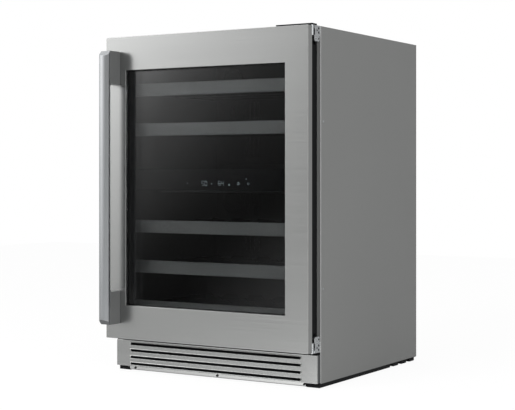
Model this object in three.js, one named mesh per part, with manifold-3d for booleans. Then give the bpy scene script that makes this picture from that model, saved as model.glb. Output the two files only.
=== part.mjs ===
// Under-counter wine cooler with two temperature zones, a right-hinged glass door and five pull-out racks.
// Millimetres, +Z up. X runs to the right seen from the front, Y runs into the cabinet.
// The origin is on the floor, under the middle of the whole machine, handle included.
import * as THREE from "three";
import { mergeVertices } from "three/addons/utils/BufferGeometryUtils.js";
import Module from "manifold-3d";

const wasm = await Module();
wasm.setup();

// ---------------------------------------------------------------- driving dimensions

const gap = 0.3; // between neighbouring pieces
const runningGap = 0.5; // round what turns or slides

// cabinet shell
const cabinetWidth = 595;
const cabinetDepth = 546;
const cabinetTop = 864;
const cabinetUnderside = 12;
const wrapSheet = 1;
const wrapFlange = 18;

// insulation and cavity
const sideWall = 39.5;
const ceilingWall = 36;
const rearWall = 58;
const cavityFloor = 134;
const floorInsulation = 34;
const linerSheet = 2;
const linerFlange = 21.2;
const stepTop = 240;
const stepDepth = 200;
const stepInsulation = 30;

// zones
const upperZoneHeight = 304;
const dividerHeight = 54;
const fasciaThickness = 4;
const fasciaSetback = 4;
const coverSpace = 85; // evaporator space behind the duct covers
const coverPlate = 3;
const coverPanel = 3;
const coverPanelInset = 21;

// racks
const rackSideClearance = 5; // from the cavity's wall, where the runners are
const rackFrontHeight = 32;
const rackSheet = 1.5;
const rackLip = 12;
const rackSetback = 4;
const rackPitch = 103; // in the upper zone
const upperRackDrop = 83;
const lowerRackDrop = 78;
const floorRackTop = 50; // above the cavity floor
const rackRearClearance = 26;
const railThickness = 8;
const railHeight = 18;
const railDrop = 9;
const tongueHeight = 8;
const tongueDepth = 2.3;
const bottleCount = 6;
const bottleRadius = 38;
const cradleDepth = 12;
const cradleRise = 4; // of its crests above the side rails
const cradleThickness = 8;
const crossThickness = 3;
const cradleFacets = 4;
const cradleCount = 4;
const runnerWeb = 2.4;
const runnerLip = 2;

// door
const doorBottom = 90;
const doorTopGap = 2;
const shellDepth = 20;
const shellSheet = 1.5;
const shellChamfer = 1;
const windowSide = 62.5;
const windowRail = 86;
const windowReturn = 8;
const coreInset = 7;
const coreDepth = 30; // behind the shell
const glassThickness = 4;
const glassSpacing = 12;
const glassOverlap = 16;
const spacerWidth = 10;
const coreLip = 12; // of the glass that the core holds
const gasketInset = 2; // from the core's edge
const gasketWidth = 16;
const gasketDepth = 12;

// handle
const handleWidth = 30;
const handleReach = 52;
const handleInset = 15; // from the door's free edge
const handleLength = 695;
const handleTopGap = 38;
const barThickness = 11;
const barCrown = 3;
const postLength = 84;
const barChamfer = 10;
const postCorner = 4;

// hinges
const hingeInset = 5.5; // axis from the door's right edge
const hingeSetback = 22; // axis in front of the cabinet
const barrelRadius = 4.8;
const pinRadius = 2.8;
const hingeHeight = 42;
const armHeight = 12;
const leafLength = 26;
const leafThickness = 5;
const bracketThickness = 7.9;
const hingeClearance = 1.5; // round the leaf and barrel, in the door's core
const pinMargin = 4; // from the door's outer end to the pin's end
const screwRadius = 2.2;

// base, kick plate and feet
const kickTop = 86;
const kickBottom = 14;
const kickForward = 17;
const kickSheet = 1.2;
const slotCount = 4;
const slotPitch = 17;
const slotHeight = 4.8;
const slotMargin = 45;
const slotDrop = 12; // first slot below the kick plate's top
const louvreDepth = 7;
const louvreDrop = 6;
const lipHeight = 9;
const lipSetback = 6;
const lipMargin = 36;
const baseUnderside = 2.5;
const baseRailWidth = 26;
const baseRailTop = 30;
const baseFloor = 3;
const footRadius = 18;
const footHeight = 7;
const stemRadius = 5;
const stemTop = 45;
const footRim = 1.5; // rounding of the pad, and the room round it in the base
const footInset = 47.5;
const frontFootSetback = 30;
const rearFootSetback = 40;

// machine compartment
const compressorRadius = 62;
const compressorHeight = 150;
const compressorInset = 147.5; // axis from the cabinet's right side
const condenserLeft = 31.5; // from the cabinet's side
const condenserWidth = 119;
const condenserDepth = 90;
const condenserHeight = 135;
const condenserLift = 30;
const condenserFront = 12; // behind the compartment's front
const fanRadius = 55;
const evaporatorFanRadius = 42;
const fanBladeCount = 7;
const fanBladePitch = THREE.MathUtils.degToRad(32);
const fanBladeThickness = 1.6;
const fanHubShare = 0.3; // of the fan's radius
const fanChordShare = 0.42;
const fanHubHeight = 13;
const trayHeight = 20;
const trayWall = 2;
const condenserFins = 14;
const condenserTubes = 3;

// ---------------------------------------------------------------- derived places

const half = cabinetWidth / 2;
const doorStack = shellDepth + coreDepth + gasketDepth;
const overallDepth = handleReach + doorStack + cabinetDepth;
const handleFront = -overallDepth / 2;
const doorFront = handleFront + handleReach;
const cabinetFront = doorFront + doorStack;
const cabinetBack = cabinetFront + cabinetDepth;

const cavityHalf = half - sideWall;
const rackWidth = 2 * (cavityHalf - rackSideClearance);
const cavityTop = cabinetTop - ceilingWall;
const cavityBack = cabinetBack - rearWall;
const stepFront = cabinetBack - stepDepth;
const machineFront = stepFront + stepInsulation;
const machineTop = stepTop - stepInsulation;
const machineFloor = cabinetUnderside + baseFloor + gap;

const dividerTop = cavityTop - upperZoneHeight;
const dividerBottom = dividerTop - dividerHeight;
const coverBack = cavityBack - coverSpace;
const coverFront = coverBack - coverPlate - coverPanel;

const rackFront = cabinetFront + rackSetback;
const rackDepth = coverFront - rackFront - rackRearClearance;
const shortRackDepth = stepFront - rackFront - gap - rackSetback * 4;

const doorTop = cabinetTop - doorTopGap;
const doorHeight = doorTop - doorBottom;
const hingeX = half - hingeInset;
const hingeY = cabinetFront - hingeSetback;

// ---------------------------------------------------------------- materials

function finish(name, color, metalness, roughness, extra = {}) {
  return () => new THREE.MeshStandardMaterial({ name, color, metalness, roughness, ...extra });
}

const brushedSteel = finish("brushed stainless steel", 0xb4b5b4, 1, 0.34);
const paintedSteel = finish("grey painted steel", 0x8c8d8c, 0.5, 0.45);
const handleSteel = finish("satin steel", 0x9aa0a6, 1, 0.36);
const zinc = finish("zinc plated steel", 0xc9cbcc, 1, 0.28);
const blackSteel = finish("black coated steel", 0x17181a, 0.4, 0.5);
const blackPlastic = finish("black moulded plastic", 0x141516, 0, 0.5);
const darkLiner = finish("charcoal liner", 0x2b2d2e, 0, 0.55);
const glossBlack = finish("gloss black panel", 0x0b0c0d, 0, 0.12);
const rubber = finish("black rubber", 0x101011, 0, 0.8);
const foam = finish("insulating foam", 0xd8c79a, 0, 0.95);
const tintedGlass = finish("tinted glass", 0x2a2e31, 0, 0.05, { transparent: true, opacity: 0.4 });
const spacerMetal = finish("black aluminium spacer", 0x1a1b1c, 0.7, 0.4);
const aluminium = finish("aluminium fins", 0xaeb2b5, 1, 0.45);
const diffuser = finish("opal light cover", 0xe8ecef, 0, 0.4);

// ---------------------------------------------------------------- solids

// Vertices go on a grid of 1/1024 mm, so that faces meant to lie in one plane do.
const GRID = 1024;

function solid(geometry) {
  const plain = new THREE.BufferGeometry();
  const source = geometry.index ? geometry.toNonIndexed() : geometry;
  const snapped = source.getAttribute("position").array.map((value) => Math.round(value * GRID) / GRID);
  plain.setAttribute("position", new THREE.BufferAttribute(snapped, 3));
  const merged = mergeVertices(plain, 1 / (2 * GRID));
  return new wasm.Manifold(
    new wasm.Mesh({
      numProp: 3,
      vertProperties: new Float32Array(merged.attributes.position.array),
      triVerts: new Uint32Array(merged.index.array),
    }),
  );
}

function geometryOf(manifold) {
  const mesh = manifold.simplify(1 / GRID).getMesh();
  const geometry = new THREE.BufferGeometry();
  geometry.setAttribute("position", new THREE.BufferAttribute(new Float32Array(mesh.vertProperties), 3));
  geometry.setIndex(new THREE.BufferAttribute(new Uint32Array(mesh.triVerts), 1));
  geometry.computeVertexNormals();
  return geometry;
}

const join = (...parts) => geometryOf(parts.flat().map(solid).reduce((sum, part) => sum.add(part)));

const cut = (base, ...tools) =>
  geometryOf(tools.flat().map(solid).reduce((left, tool) => left.subtract(tool), solid(base)));

function box(x0, x1, y0, y1, z0, z1) {
  const geometry = new THREE.BoxGeometry(x1 - x0, y1 - y0, z1 - z0);
  return geometry.translate((x0 + x1) / 2, (y0 + y1) / 2, (z0 + z1) / 2);
}

const AXES = {
  x: [new THREE.Vector3(0, 1, 0), new THREE.Vector3(0, 0, 1), new THREE.Vector3(1, 0, 0)],
  y: [new THREE.Vector3(0, 0, 1), new THREE.Vector3(1, 0, 0), new THREE.Vector3(0, 1, 0)],
  z: [new THREE.Vector3(1, 0, 0), new THREE.Vector3(0, 1, 0), new THREE.Vector3(0, 0, 1)],
};

// A Shape drawn in (y, z), (z, x) or (x, y) and drawn out along the x, y or z axis.
function prism(axis, shape, from, to, curveSegments = 8) {
  const geometry = new THREE.ExtrudeGeometry(shape, {
    depth: to - from,
    bevelEnabled: false,
    curveSegments,
  });
  const turn = new THREE.Matrix4().makeBasis(...AXES[axis]);
  return geometry.translate(0, 0, from).applyMatrix4(turn);
}

function outline(points) {
  return new THREE.Shape(points.map(([a, b]) => new THREE.Vector2(a, b)));
}

function cylinder(axis, radius, centre, from, to, sides = 24) {
  const shape = new THREE.Shape().absarc(centre[0], centre[1], radius, 0, Math.PI * 2, false);
  return prism(axis, shape, from, to, sides / 2);
}

// A picture-frame ring in the XZ plane, from y0 to y1.
function frameRing(outer, inner, y0, y1) {
  const block = box(outer.x0, outer.x1, y0, y1, outer.z0, outer.z1);
  return cut(block, box(inner.x0, inner.x1, y0 - 1, y1 + 1, inner.z0, inner.z1));
}

const inset = (r, d) => ({ x0: r.x0 + d, x1: r.x1 - d, z0: r.z0 + d, z1: r.z1 - d });

// A block whose front rectangle, at y0, and back rectangle, at y1, differ.
function taperedBlock(front, back, y0, y1) {
  const corners = (r, y) => [
    [r.x0, y, r.z0],
    [r.x1, y, r.z0],
    [r.x1, y, r.z1],
    [r.x0, y, r.z1],
  ];
  const vertices = [...corners(front, y0), ...corners(back, y1)].flat();
  const faces = [
    [0, 1, 2, 0, 2, 3],
    [4, 6, 5, 4, 7, 6],
    [0, 5, 1, 0, 4, 5],
    [3, 2, 6, 3, 6, 7],
    [1, 5, 6, 1, 6, 2],
    [0, 3, 7, 0, 7, 4],
  ].flat();
  const geometry = new THREE.BufferGeometry();
  geometry.setAttribute("position", new THREE.Float32BufferAttribute(vertices, 3));
  geometry.setIndex(faces);
  return geometry;
}

function piece(parent, name, geometry, material, position = [0, 0, 0]) {
  const mesh = new THREE.Mesh(geometry, material());
  mesh.name = name;
  mesh.position.set(...position);
  parent.add(mesh);
  return mesh;
}

function groupAt(parent, x, y, z) {
  const group = new THREE.Group();
  group.position.set(x, y, z);
  parent.add(group);
  return group;
}

const cooler = new THREE.Group();
const cabinet = groupAt(cooler, 0, 0, 0);

// ---------------------------------------------------------------- cabinet shell

const plugHeights = [237, 638];
const plugSetback = 13.5; // behind the cabinet's front
const plugRadius = 3;

function cabinetWrap() {
  const below = cabinetUnderside - 1;
  const shell = cut(
    box(-half, half, cabinetFront, cabinetBack, cabinetUnderside, cabinetTop),
    box(
      -half + wrapSheet,
      half - wrapSheet,
      cabinetFront - 1,
      cabinetBack + 1,
      below,
      cabinetTop - wrapSheet,
    ),
  );
  const flange = cut(
    box(-half, half, cabinetFront, cabinetFront + wrapSheet, cabinetUnderside, cabinetTop),
    box(
      -half + wrapFlange,
      half - wrapFlange,
      cabinetFront - 1,
      cabinetFront + wrapSheet + 1,
      below,
      cabinetTop - wrapFlange,
    ),
  );
  const plugHoles = plugHeights.map((z) =>
    cylinder("x", plugRadius, [cabinetFront + plugSetback, z], -half - 1, half + 1, 12),
  );
  return cut(join(shell, flange), plugHoles);
}

const ventRows = 9;
const ventPitch = 14;
const ventHeight = 5;
const ventLength = 190;
const ventInset = 45;
const ventBottom = 60;
const inletWidth = 48;
const inletHeight = 30;
const inletDepth = 18;
const inletWall = 2;

const backScrewRadius = 3.5;
const backScrewInset = 14;
const backScrewDrop = 14;
const backScrewMiddle = 430;

function backPanel() {
  const y0 = cabinetBack - wrapSheet;
  const edge = half - wrapSheet - gap;
  const plate = box(-edge, edge, y0, cabinetBack, cabinetUnderside, cabinetTop - wrapSheet - gap);
  const vents = [];
  for (let row = 0; row < ventRows; row++) {
    const z = ventBottom + row * ventPitch;
    for (const side of [-1, 1]) {
      const centre = side * (half - ventInset - ventLength / 2);
      vents.push(
        box(centre - ventLength / 2, centre + ventLength / 2, y0 - 1, cabinetBack + 1, z, z + ventHeight),
      );
    }
  }
  const inletZ = ventBottom + ventPitch;
  const socket = box(
    -inletWidth / 2 - inletWall,
    inletWidth / 2 + inletWall,
    cabinetBack - inletDepth,
    y0 + wrapSheet / 2,
    inletZ - inletWall,
    inletZ + inletHeight + inletWall,
  );
  const recess = box(
    -inletWidth / 2,
    inletWidth / 2,
    cabinetBack - inletDepth + inletWall,
    cabinetBack + 1,
    inletZ,
    inletZ + inletHeight,
  );
  const screwHoles = [];
  for (const x of [-edge + backScrewInset, 0, edge - backScrewInset]) {
    for (const z of [cabinetUnderside + backScrewInset, backScrewMiddle, cabinetTop - backScrewDrop]) {
      screwHoles.push(cylinder("y", backScrewRadius, [x, z], y0 - 1, cabinetBack + 1, 12));
    }
  }
  return cut(join(cut(plate, [...vents, ...screwHoles]), socket), recess);
}

// Foamed-in-place insulation between the wrap and the liner, notched for the machine compartment.
function foamBlock() {
  const edge = half - wrapSheet - gap;
  const front = cabinetFront + wrapSheet + gap;
  const back = cabinetBack - wrapSheet - gap;
  const block = box(-edge, edge, front, back, cavityFloor - floorInsulation, cabinetTop - wrapSheet - gap);
  const clear = linerSheet + gap;
  const cavity = box(
    -cavityHalf - clear,
    cavityHalf + clear,
    front - 1,
    cavityBack + clear,
    cavityFloor - clear,
    cavityTop + clear,
  );
  const step = box(
    -half,
    half,
    stepFront + clear,
    cabinetBack,
    cavityFloor - clear - 1,
    stepTop - clear,
  );
  const machine = box(-half, half, machineFront, cabinetBack, 0, machineTop);
  return cut(block, cut(cavity, step), machine);
}

function innerLiner() {
  const outerHalf = cavityHalf + linerSheet;
  const profile = (grow, front) =>
    outline([
      [front, cavityFloor - grow],
      [stepFront + grow, cavityFloor - grow],
      [stepFront + grow, stepTop - grow],
      [cavityBack + grow, stepTop - grow],
      [cavityBack + grow, cavityTop + grow],
      [front, cavityTop + grow],
    ]);
  const outside = prism("x", profile(linerSheet, cabinetFront), -outerHalf, outerHalf);
  const hollow = prism("x", profile(0, cabinetFront - 1), -cavityHalf, cavityHalf);
  const rim = box(
    -cavityHalf - linerFlange,
    cavityHalf + linerFlange,
    cabinetFront,
    cabinetFront + wrapSheet,
    cavityFloor - linerFlange,
    Math.min(cavityTop + linerFlange, cabinetTop - wrapFlange - gap),
  );
  return cut(join(outside, rim), hollow);
}

function lowerFrontRail() {
  const top = cavityFloor - linerFlange - gap;
  const bottom = kickTop + gap;
  const edge = half - wrapFlange - gap;
  const shape = outline([
    [cabinetFront, bottom],
    [cabinetFront + 2 * wrapFlange, bottom],
    [cabinetFront + 2 * wrapFlange, bottom + wrapSheet],
    [cabinetFront + wrapSheet, bottom + wrapSheet],
    [cabinetFront + wrapSheet, top],
    [cabinetFront, top],
  ]);
  return prism("x", shape, -edge, edge);
}

piece(cabinet, "cabinet_wrap", cabinetWrap(), paintedSteel);
piece(cabinet, "back_panel", backPanel(), paintedSteel);
piece(cabinet, "foam_insulation", foamBlock(), foam);
piece(cabinet, "inner_liner", innerLiner(), darkLiner);
piece(cabinet, "lower_front_rail", lowerFrontRail(), blackSteel);

// ---------------------------------------------------------------- zone divider, lights and duct covers

const dividerFront = cabinetFront + fasciaSetback + fasciaThickness;

function zoneDivider() {
  const edge = cavityHalf - gap;
  return box(-edge, edge, dividerFront + gap, cavityBack - gap, dividerBottom, dividerTop);
}

function controlFascia() {
  const front = cabinetFront + fasciaSetback;
  const soften = 1.5;
  const shape = outline([
    [front + soften, dividerBottom],
    [dividerFront, dividerBottom],
    [dividerFront, dividerTop],
    [front + soften, dividerTop],
    [front, dividerTop - soften],
    [front, dividerBottom + soften],
  ]);
  return prism("x", shape, -cavityHalf + gap, cavityHalf - gap);
}

const lightMargin = 68; // from the cavity's walls
const lightDepth = 16;
const lightHeight = 6;
const lightSetback = 24;

function lightStrip(ceiling) {
  const front = rackFront + lightSetback;
  const shape = new THREE.Shape();
  shape.moveTo(front, ceiling - gap);
  shape.lineTo(front, ceiling - gap - lightHeight / 3);
  shape.quadraticCurveTo(
    front + lightDepth / 2,
    ceiling - gap - lightHeight * 1.4,
    front + lightDepth,
    ceiling - gap - lightHeight / 3,
  );
  shape.lineTo(front + lightDepth, ceiling - gap);
  shape.closePath();
  const reach = cavityHalf - lightMargin;
  return prism("x", shape, -reach, reach);
}

const capRadius = 31;
const capDepth = 10;
const capInset = 62; // axis from the cavity's left wall
const capX = -cavityHalf + capInset;
const slotColumnX = 116;
const slotColumns = 4;
const slotColumnPitch = 14.3;
const ductSlotWidth = 4;
const motorInset = 128; // axis from the cavity's right wall
const motorX = cavityHalf - motorInset;
const motorRadius = 16;
const motorDepth = 12;
const spindleRadius = 2.5;
const spindleLength = 16;

// Moulded cover over an evaporator: a raised panel with columns of short air slots, and a motor boss behind.
// slotRows lists [lowest, highest] below the cover's ceiling, motorDrop is the fan's axis below it.
function ductCover(bottom, ceiling, slotRows, extraSlots, motorDrop) {
  const edge = cavityHalf - gap;
  const plate = box(-edge, edge, coverBack - coverPlate, coverBack, bottom + gap, ceiling - gap);
  const panelEdge = cavityHalf - coverPanelInset;
  const margin = coverPanelInset / 2;
  const sheet = { x0: -panelEdge, x1: panelEdge, z0: bottom + margin, z1: ceiling - margin };
  const panel = taperedBlock(inset(sheet, coverPanel), sheet, coverFront, coverBack - coverPlate / 2);
  const slots = [];
  const slotAt = (x, low, high) => {
    const [left, right] = [x - ductSlotWidth / 2, x + ductSlotWidth / 2];
    slots.push(box(left, right, coverFront - 1, coverBack + 1, ceiling - high, ceiling - low));
  };
  const fitting = slotRows.filter(([, high]) => ceiling - high > bottom + coverPanelInset);
  for (const [low, high] of fitting) {
    for (let column = 0; column < slotColumns; column++) {
      const x = slotColumnX + column * slotColumnPitch;
      slotAt(-x, low, high);
      slotAt(x, low, high);
    }
  }
  for (const [x, low, high] of extraSlots) slotAt(x, low, high);
  const axis = [ceiling - motorDrop, motorX];
  const motorBack = coverBack + motorDepth;
  const boss = cylinder("y", motorRadius, axis, coverBack - coverPlate / 2, motorBack, 20);
  const spindle = cylinder("y", spindleRadius, axis, motorBack - 1, motorBack + spindleLength, 12);
  return cut(join(plate, panel, boss, spindle), slots);
}

// Round charcoal filter cap with two shallow rings, standing on the duct cover.
function filterCap() {
  const ringDepth = 1.5;
  const profile = [
    [0, -capDepth],
    [capRadius - 15, -capDepth],
    [capRadius - 14, -capDepth + ringDepth],
    [capRadius - 9, -capDepth + ringDepth],
    [capRadius - 8, -capDepth],
    [capRadius - 2, -capDepth],
    [capRadius, -capDepth + 2],
    [capRadius, 0],
    [0, 0],
  ].map(([r, y]) => new THREE.Vector2(r, y));
  return new THREE.LatheGeometry(profile, 20);
}

const capDrop = 51;
const lowerCapDrop = 40;
const fanDrop = 60;
const upperSlotRows = [
  [118, 136],
  [140, 157],
  [215, 240],
  [245, 270],
];
const lowerSlotRows = [
  [14, 43],
  [48, 77],
  [139, 154],
  [158, 173],
];
const smallSlots = [-9, 0, 9].map((step) => [capX + step, 124, 152]);

piece(cabinet, "zone_divider", zoneDivider(), darkLiner);
piece(cabinet, "control_fascia", controlFascia(), glossBlack);
piece(cabinet, "upper_light_strip", lightStrip(cavityTop), diffuser);
piece(cabinet, "lower_light_strip", lightStrip(dividerBottom), diffuser);
piece(
  cabinet,
  "upper_duct_cover",
  ductCover(dividerTop, cavityTop, upperSlotRows, smallSlots, fanDrop),
  darkLiner,
);
piece(cabinet, "lower_duct_cover", ductCover(stepTop, dividerBottom, lowerSlotRows, [], fanDrop), darkLiner);
const capY = coverFront - gap;
piece(cabinet, "upper_filter_cap", filterCap(), blackPlastic, [capX, capY, cavityTop - capDrop]);
piece(cabinet, "lower_filter_cap", filterCap(), blackPlastic, [capX, capY, dividerBottom - lowerCapDrop]);

// A bank of upright fins along X on a common back plate, with a plate at each end that reaches down to z0
// and the bends of its tubes standing out of the right end.
const finThickness = 2;
const tubeRadius = 4;

function finBank(x0, x1, y0, y1, z0, finBottom, z1, finCount, tubeRows) {
  const pitch = (x1 - x0 - finThickness) / (finCount - 1);
  const comb = [[x0, y1]];
  for (let i = 0; i < finCount; i++) {
    const left = x0 + i * pitch;
    comb.push([left, y0], [left + finThickness, y0]);
    if (i === finCount - 1) break;
    comb.push([left + finThickness, y1 - finThickness], [left + pitch, y1 - finThickness]);
  }
  comb.push([x1, y1]);
  const solids = [prism("z", outline(comb), finBottom, z1)];
  if (finBottom > z0) {
    for (const left of [x0, x1 - finThickness]) {
      solids.push(box(left, left + finThickness, y0, y1, z0, finBottom + 1));
    }
  }
  const bendDepth = (y1 - y0) / 4;
  for (let row = 0; row < tubeRows; row++) {
    const z = finBottom + ((row + 0.5) * (z1 - finBottom)) / tubeRows;
    const middle = (y0 + y1) / 2;
    const [near, far] = [middle - bendDepth, middle + bendDepth];
    solids.push(box(x1 - 1, x1 + tubeRadius, near, far, z - tubeRadius, z + tubeRadius));
  }
  return join(solids);
}

const evaporatorInset = 58; // from the cavity's left wall
const evaporatorFanGap = 28;
const evaporatorDepth = 62;
const evaporatorDrop = 90;
const lowerEvaporatorLift = 10; // above the step
const upperEvaporatorLift = 84; // above the divider
const evaporatorFins = 20;
const evaporatorTubes = 3;

function evaporator(bottom, ceiling) {
  const left = -cavityHalf + evaporatorInset;
  const right = motorX - evaporatorFanRadius - evaporatorFanGap;
  const top = ceiling - evaporatorDrop;
  const back = cavityBack - gap;
  const front = back - evaporatorDepth;
  return finBank(
    left,
    right,
    front,
    back,
    bottom,
    bottom,
    top,
    evaporatorFins,
    evaporatorTubes,
  );
}

const upperFins = evaporator(dividerTop + upperEvaporatorLift, cavityTop);
const lowerFins = evaporator(stepTop + lowerEvaporatorLift, dividerBottom);
piece(cabinet, "upper_evaporator", upperFins, aluminium);
piece(cabinet, "lower_evaporator", lowerFins, aluminium);

// Fan rotor about the Z axis of its own frame, hub base at z = 0, blades pitched across the hub.
function fanRotor(radius, boreRadius) {
  const hubRadius = radius * fanHubShare;
  const chord = radius * fanChordShare;
  const root = hubRadius - fanBladeThickness;
  const hub = cylinder("z", hubRadius, [0, 0], 0, fanHubHeight, 20);
  const blades = [];
  for (let i = 0; i < fanBladeCount; i++) {
    const blade = new THREE.BoxGeometry(radius - root + 1, chord, fanBladeThickness);
    blade.rotateX(fanBladePitch);
    blade.translate((radius + root + 1) / 2, 0, fanHubHeight / 2);
    blade.rotateZ((i * Math.PI * 2) / fanBladeCount);
    blades.push(blade);
  }
  const limit = cylinder("z", radius, [0, 0], 0, fanHubHeight, 42);
  const swept = geometryOf(solid(join(hub, blades)).intersect(solid(limit)));
  return cut(swept, cylinder("z", boreRadius, [0, 0], -1, fanHubHeight + 1, 12));
}

const rotorBore = spindleRadius + runningGap;

function evaporatorFan(name, ceiling) {
  const y = coverBack + motorDepth + runningGap;
  const fan = groupAt(cabinet, motorX, y, ceiling - fanDrop);
  fan.rotation.x = -Math.PI / 2;
  piece(fan, name, fanRotor(evaporatorFanRadius, rotorBore), blackPlastic);
}

evaporatorFan("upper_fan_rotor", cavityTop);
evaporatorFan("lower_fan_rotor", dividerBottom);

// ---------------------------------------------------------------- base, kick plate and feet

const footPlaces = [
  ["foot_front_left", -half + footInset, cabinetFront + frontFootSetback],
  ["foot_front_right", half - footInset, cabinetFront + frontFootSetback],
  ["foot_rear_left", -half + footInset, cabinetBack - rearFootSetback],
  ["foot_rear_right", half - footInset, cabinetBack - rearFootSetback],
];
const bossHalf = 22;
const rearRailBottom = 6;
const lugCount = 3;
const lugLength = 30;
const lugGap = 20;
const lugInset = 13; // from the base's back
const noseSetback = 12; // of the base's front corners behind the kick plate's face

function baseFrame() {
  const insideHalf = half - wrapSheet - gap;
  const railInner = half - baseRailWidth;
  const underWrap = cabinetUnderside - gap;
  const front = cabinetFront + wrapSheet + gap;
  const back = cabinetBack - wrapSheet - gap;
  const kickFace = cabinetFront - kickForward;
  const lugZone = lugInset + lugCount * (lugLength + lugGap);
  const nose = kickFace + noseSetback;
  const solids = [];
  for (const side of [-1, 1]) {
    const span = (a, b) => [Math.min(side * a, side * b), Math.max(side * a, side * b)];
    const lowRail = span(railInner, half - wrapSheet / 2);
    solids.push(box(...lowRail, nose, back - lugZone, baseUnderside, underWrap));
    for (let i = 0; i < lugCount; i++) {
      const y1 = back - lugInset - i * (lugLength + lugGap);
      solids.push(box(...lowRail, y1 - lugLength, y1, baseUnderside, underWrap));
    }
    solids.push(box(...span(railInner, insideHalf), front, back, underWrap - 1, baseRailTop));
    const corner = span(half - lipMargin, half - wrapSheet / 2);
    solids.push(box(...corner, nose, cabinetFront - gap, baseUnderside, kickBottom - gap));
  }
  const member = (y0, y1, z0) => box(-railInner - 1, railInner + 1, y0, y1, z0, baseRailTop);
  solids.push(member(front, front + baseRailWidth, baseUnderside));
  solids.push(member(machineFront - baseRailWidth, machineFront, cabinetUnderside));
  solids.push(member(back - baseRailWidth / 2, back, rearRailBottom));
  solids.push(
    box(-railInner - 1, railInner + 1, front, back, cabinetUnderside, cabinetUnderside + baseFloor),
  );
  for (const [, x, y] of footPlaces) {
    solids.push(box(x - bossHalf, x + bossHalf, y - bossHalf, y + bossHalf, baseUnderside, baseRailTop));
  }
  const holes = [];
  for (const [, x, y] of footPlaces) {
    holes.push(cylinder("z", footRadius + footRim, [x, y], 0, footHeight + runningGap));
    holes.push(cylinder("z", stemRadius + runningGap, [x, y], 0, baseRailTop + 1, 12));
  }
  return cut(join(solids), holes);
}

// Pressed steel kick plate: side returns, horizontal air slots with louvre lips, and a set-back toe lip.
function kickGrille() {
  const front = cabinetFront - kickForward;
  const back = cabinetFront - gap;
  const inner = half - kickSheet;
  const lipHalf = half - lipMargin - gap;
  const toeFront = front + lipSetback;
  const toeBottom = kickBottom - lipHeight;
  const solids = [
    box(-half, half, front, front + kickSheet, kickBottom, kickTop),
    box(-half, -inner, front, back, kickBottom, kickTop),
    box(inner, half, front, back, kickBottom, kickTop),
    box(-inner, inner, front, back, kickTop - kickSheet, kickTop),
    box(-lipHalf, lipHalf, front, toeFront + kickSheet, kickBottom, kickBottom + kickSheet),
    box(-lipHalf, lipHalf, toeFront, toeFront + kickSheet, toeBottom, kickBottom + kickSheet / 2),
  ];
  const slots = [];
  const slotHalf = half - slotMargin;
  for (let i = 0; i < slotCount; i++) {
    const top = kickTop - slotDrop - i * slotPitch + slotHeight / 2;
    slots.push(box(-slotHalf, slotHalf, front - 1, front + 2 * kickSheet, top - slotHeight, top));
  }
  const louvres = [];
  const root = front + kickSheet / 2;
  for (let i = 0; i < slotCount; i++) {
    const z = kickTop - slotDrop - i * slotPitch + slotHeight / 2;
    const shape = outline([
      [root, z],
      [root + louvreDepth, z - louvreDrop],
      [root + louvreDepth, z - louvreDrop + kickSheet],
      [root, z + 2 * kickSheet],
    ]);
    louvres.push(prism("x", shape, -slotHalf, slotHalf));
  }
  return join(cut(join(solids), slots), louvres);
}

function levellingFoot() {
  const profile = [
    [0, 0],
    [footRadius - footRim, 0],
    [footRadius, footRim],
    [footRadius, footHeight - 2 * footRim],
    [footRadius - 2 * footRim, footHeight],
    [stemRadius, footHeight],
    [stemRadius, stemTop - 1],
    [stemRadius - 1, stemTop],
    [0, stemTop],
  ].map(([r, z]) => new THREE.Vector2(r, z));
  return new THREE.LatheGeometry(profile, 20).rotateX(Math.PI / 2);
}

piece(cabinet, "base_frame", baseFrame(), blackSteel);
piece(cabinet, "kick_grille", kickGrille(), brushedSteel);
for (const [name, x, y] of footPlaces) piece(cabinet, name, levellingFoot(), blackSteel, [x, y, 0]);

// ---------------------------------------------------------------- machine compartment

const machineDepth = cabinetBack - wrapSheet - machineFront;
const grommetHeight = 12;
const grommetRadius = 9;
const weldBelt = 3;

function compressor() {
  const r = compressorRadius;
  const h = compressorHeight;
  const foot = grommetHeight;
  const shell = [
    [0, 0],
    [r * 0.8, 0],
    [r * 0.97, h * 0.12],
    [r, h * 0.2],
    [r, h * 0.46],
    [r + weldBelt, h * 0.47],
    [r + weldBelt, h * 0.51],
    [r, h * 0.52],
    [r * 0.97, h * 0.72],
    [r * 0.78, h * 0.9],
    [r * 0.42, h * 0.98],
    [0, h],
  ].map(([a, b]) => new THREE.Vector2(a, b));
  const dome = new THREE.LatheGeometry(shell, 20).rotateX(Math.PI / 2).translate(0, 0, foot + 1);
  const plateHalf = r + 2 * weldBelt;
  const plate = box(-plateHalf, plateHalf, -r, r, foot, foot + weldBelt);
  const mounts = [];
  for (const x of [-1, 1]) {
    for (const y of [-1, 1]) {
      const centre = [x * (plateHalf - grommetRadius), y * (r - grommetRadius)];
      mounts.push(cylinder("z", grommetRadius, centre, 0, foot + 1, 12));
    }
  }
  const stub = cylinder("z", tubeRadius, [0, -r / 2], h * 0.7, h + 2 * foot, 10);
  return join(dome, plate, mounts, stub);
}

const condenserX0 = -half + condenserLeft;
const condenserX1 = condenserX0 + condenserWidth;
const condenserY0 = machineFront + condenserFront;
const condenserY1 = condenserY0 + condenserDepth;
const condenserTop = machineFloor + condenserLift + condenserHeight;
const fanAxisY = (condenserY0 + condenserY1) / 2 + 10;
const fanAxisZ = machineFloor + condenserLift + condenserHeight / 2;
const fanClearance = 8;
const shroudX = condenserX1 + fanHubHeight + fanClearance;

function condenser() {
  return finBank(
    condenserX0,
    condenserX1,
    condenserY0,
    condenserY1,
    machineFloor,
    machineFloor + condenserLift,
    condenserTop,
    condenserFins,
    condenserTubes,
  );
}

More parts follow.
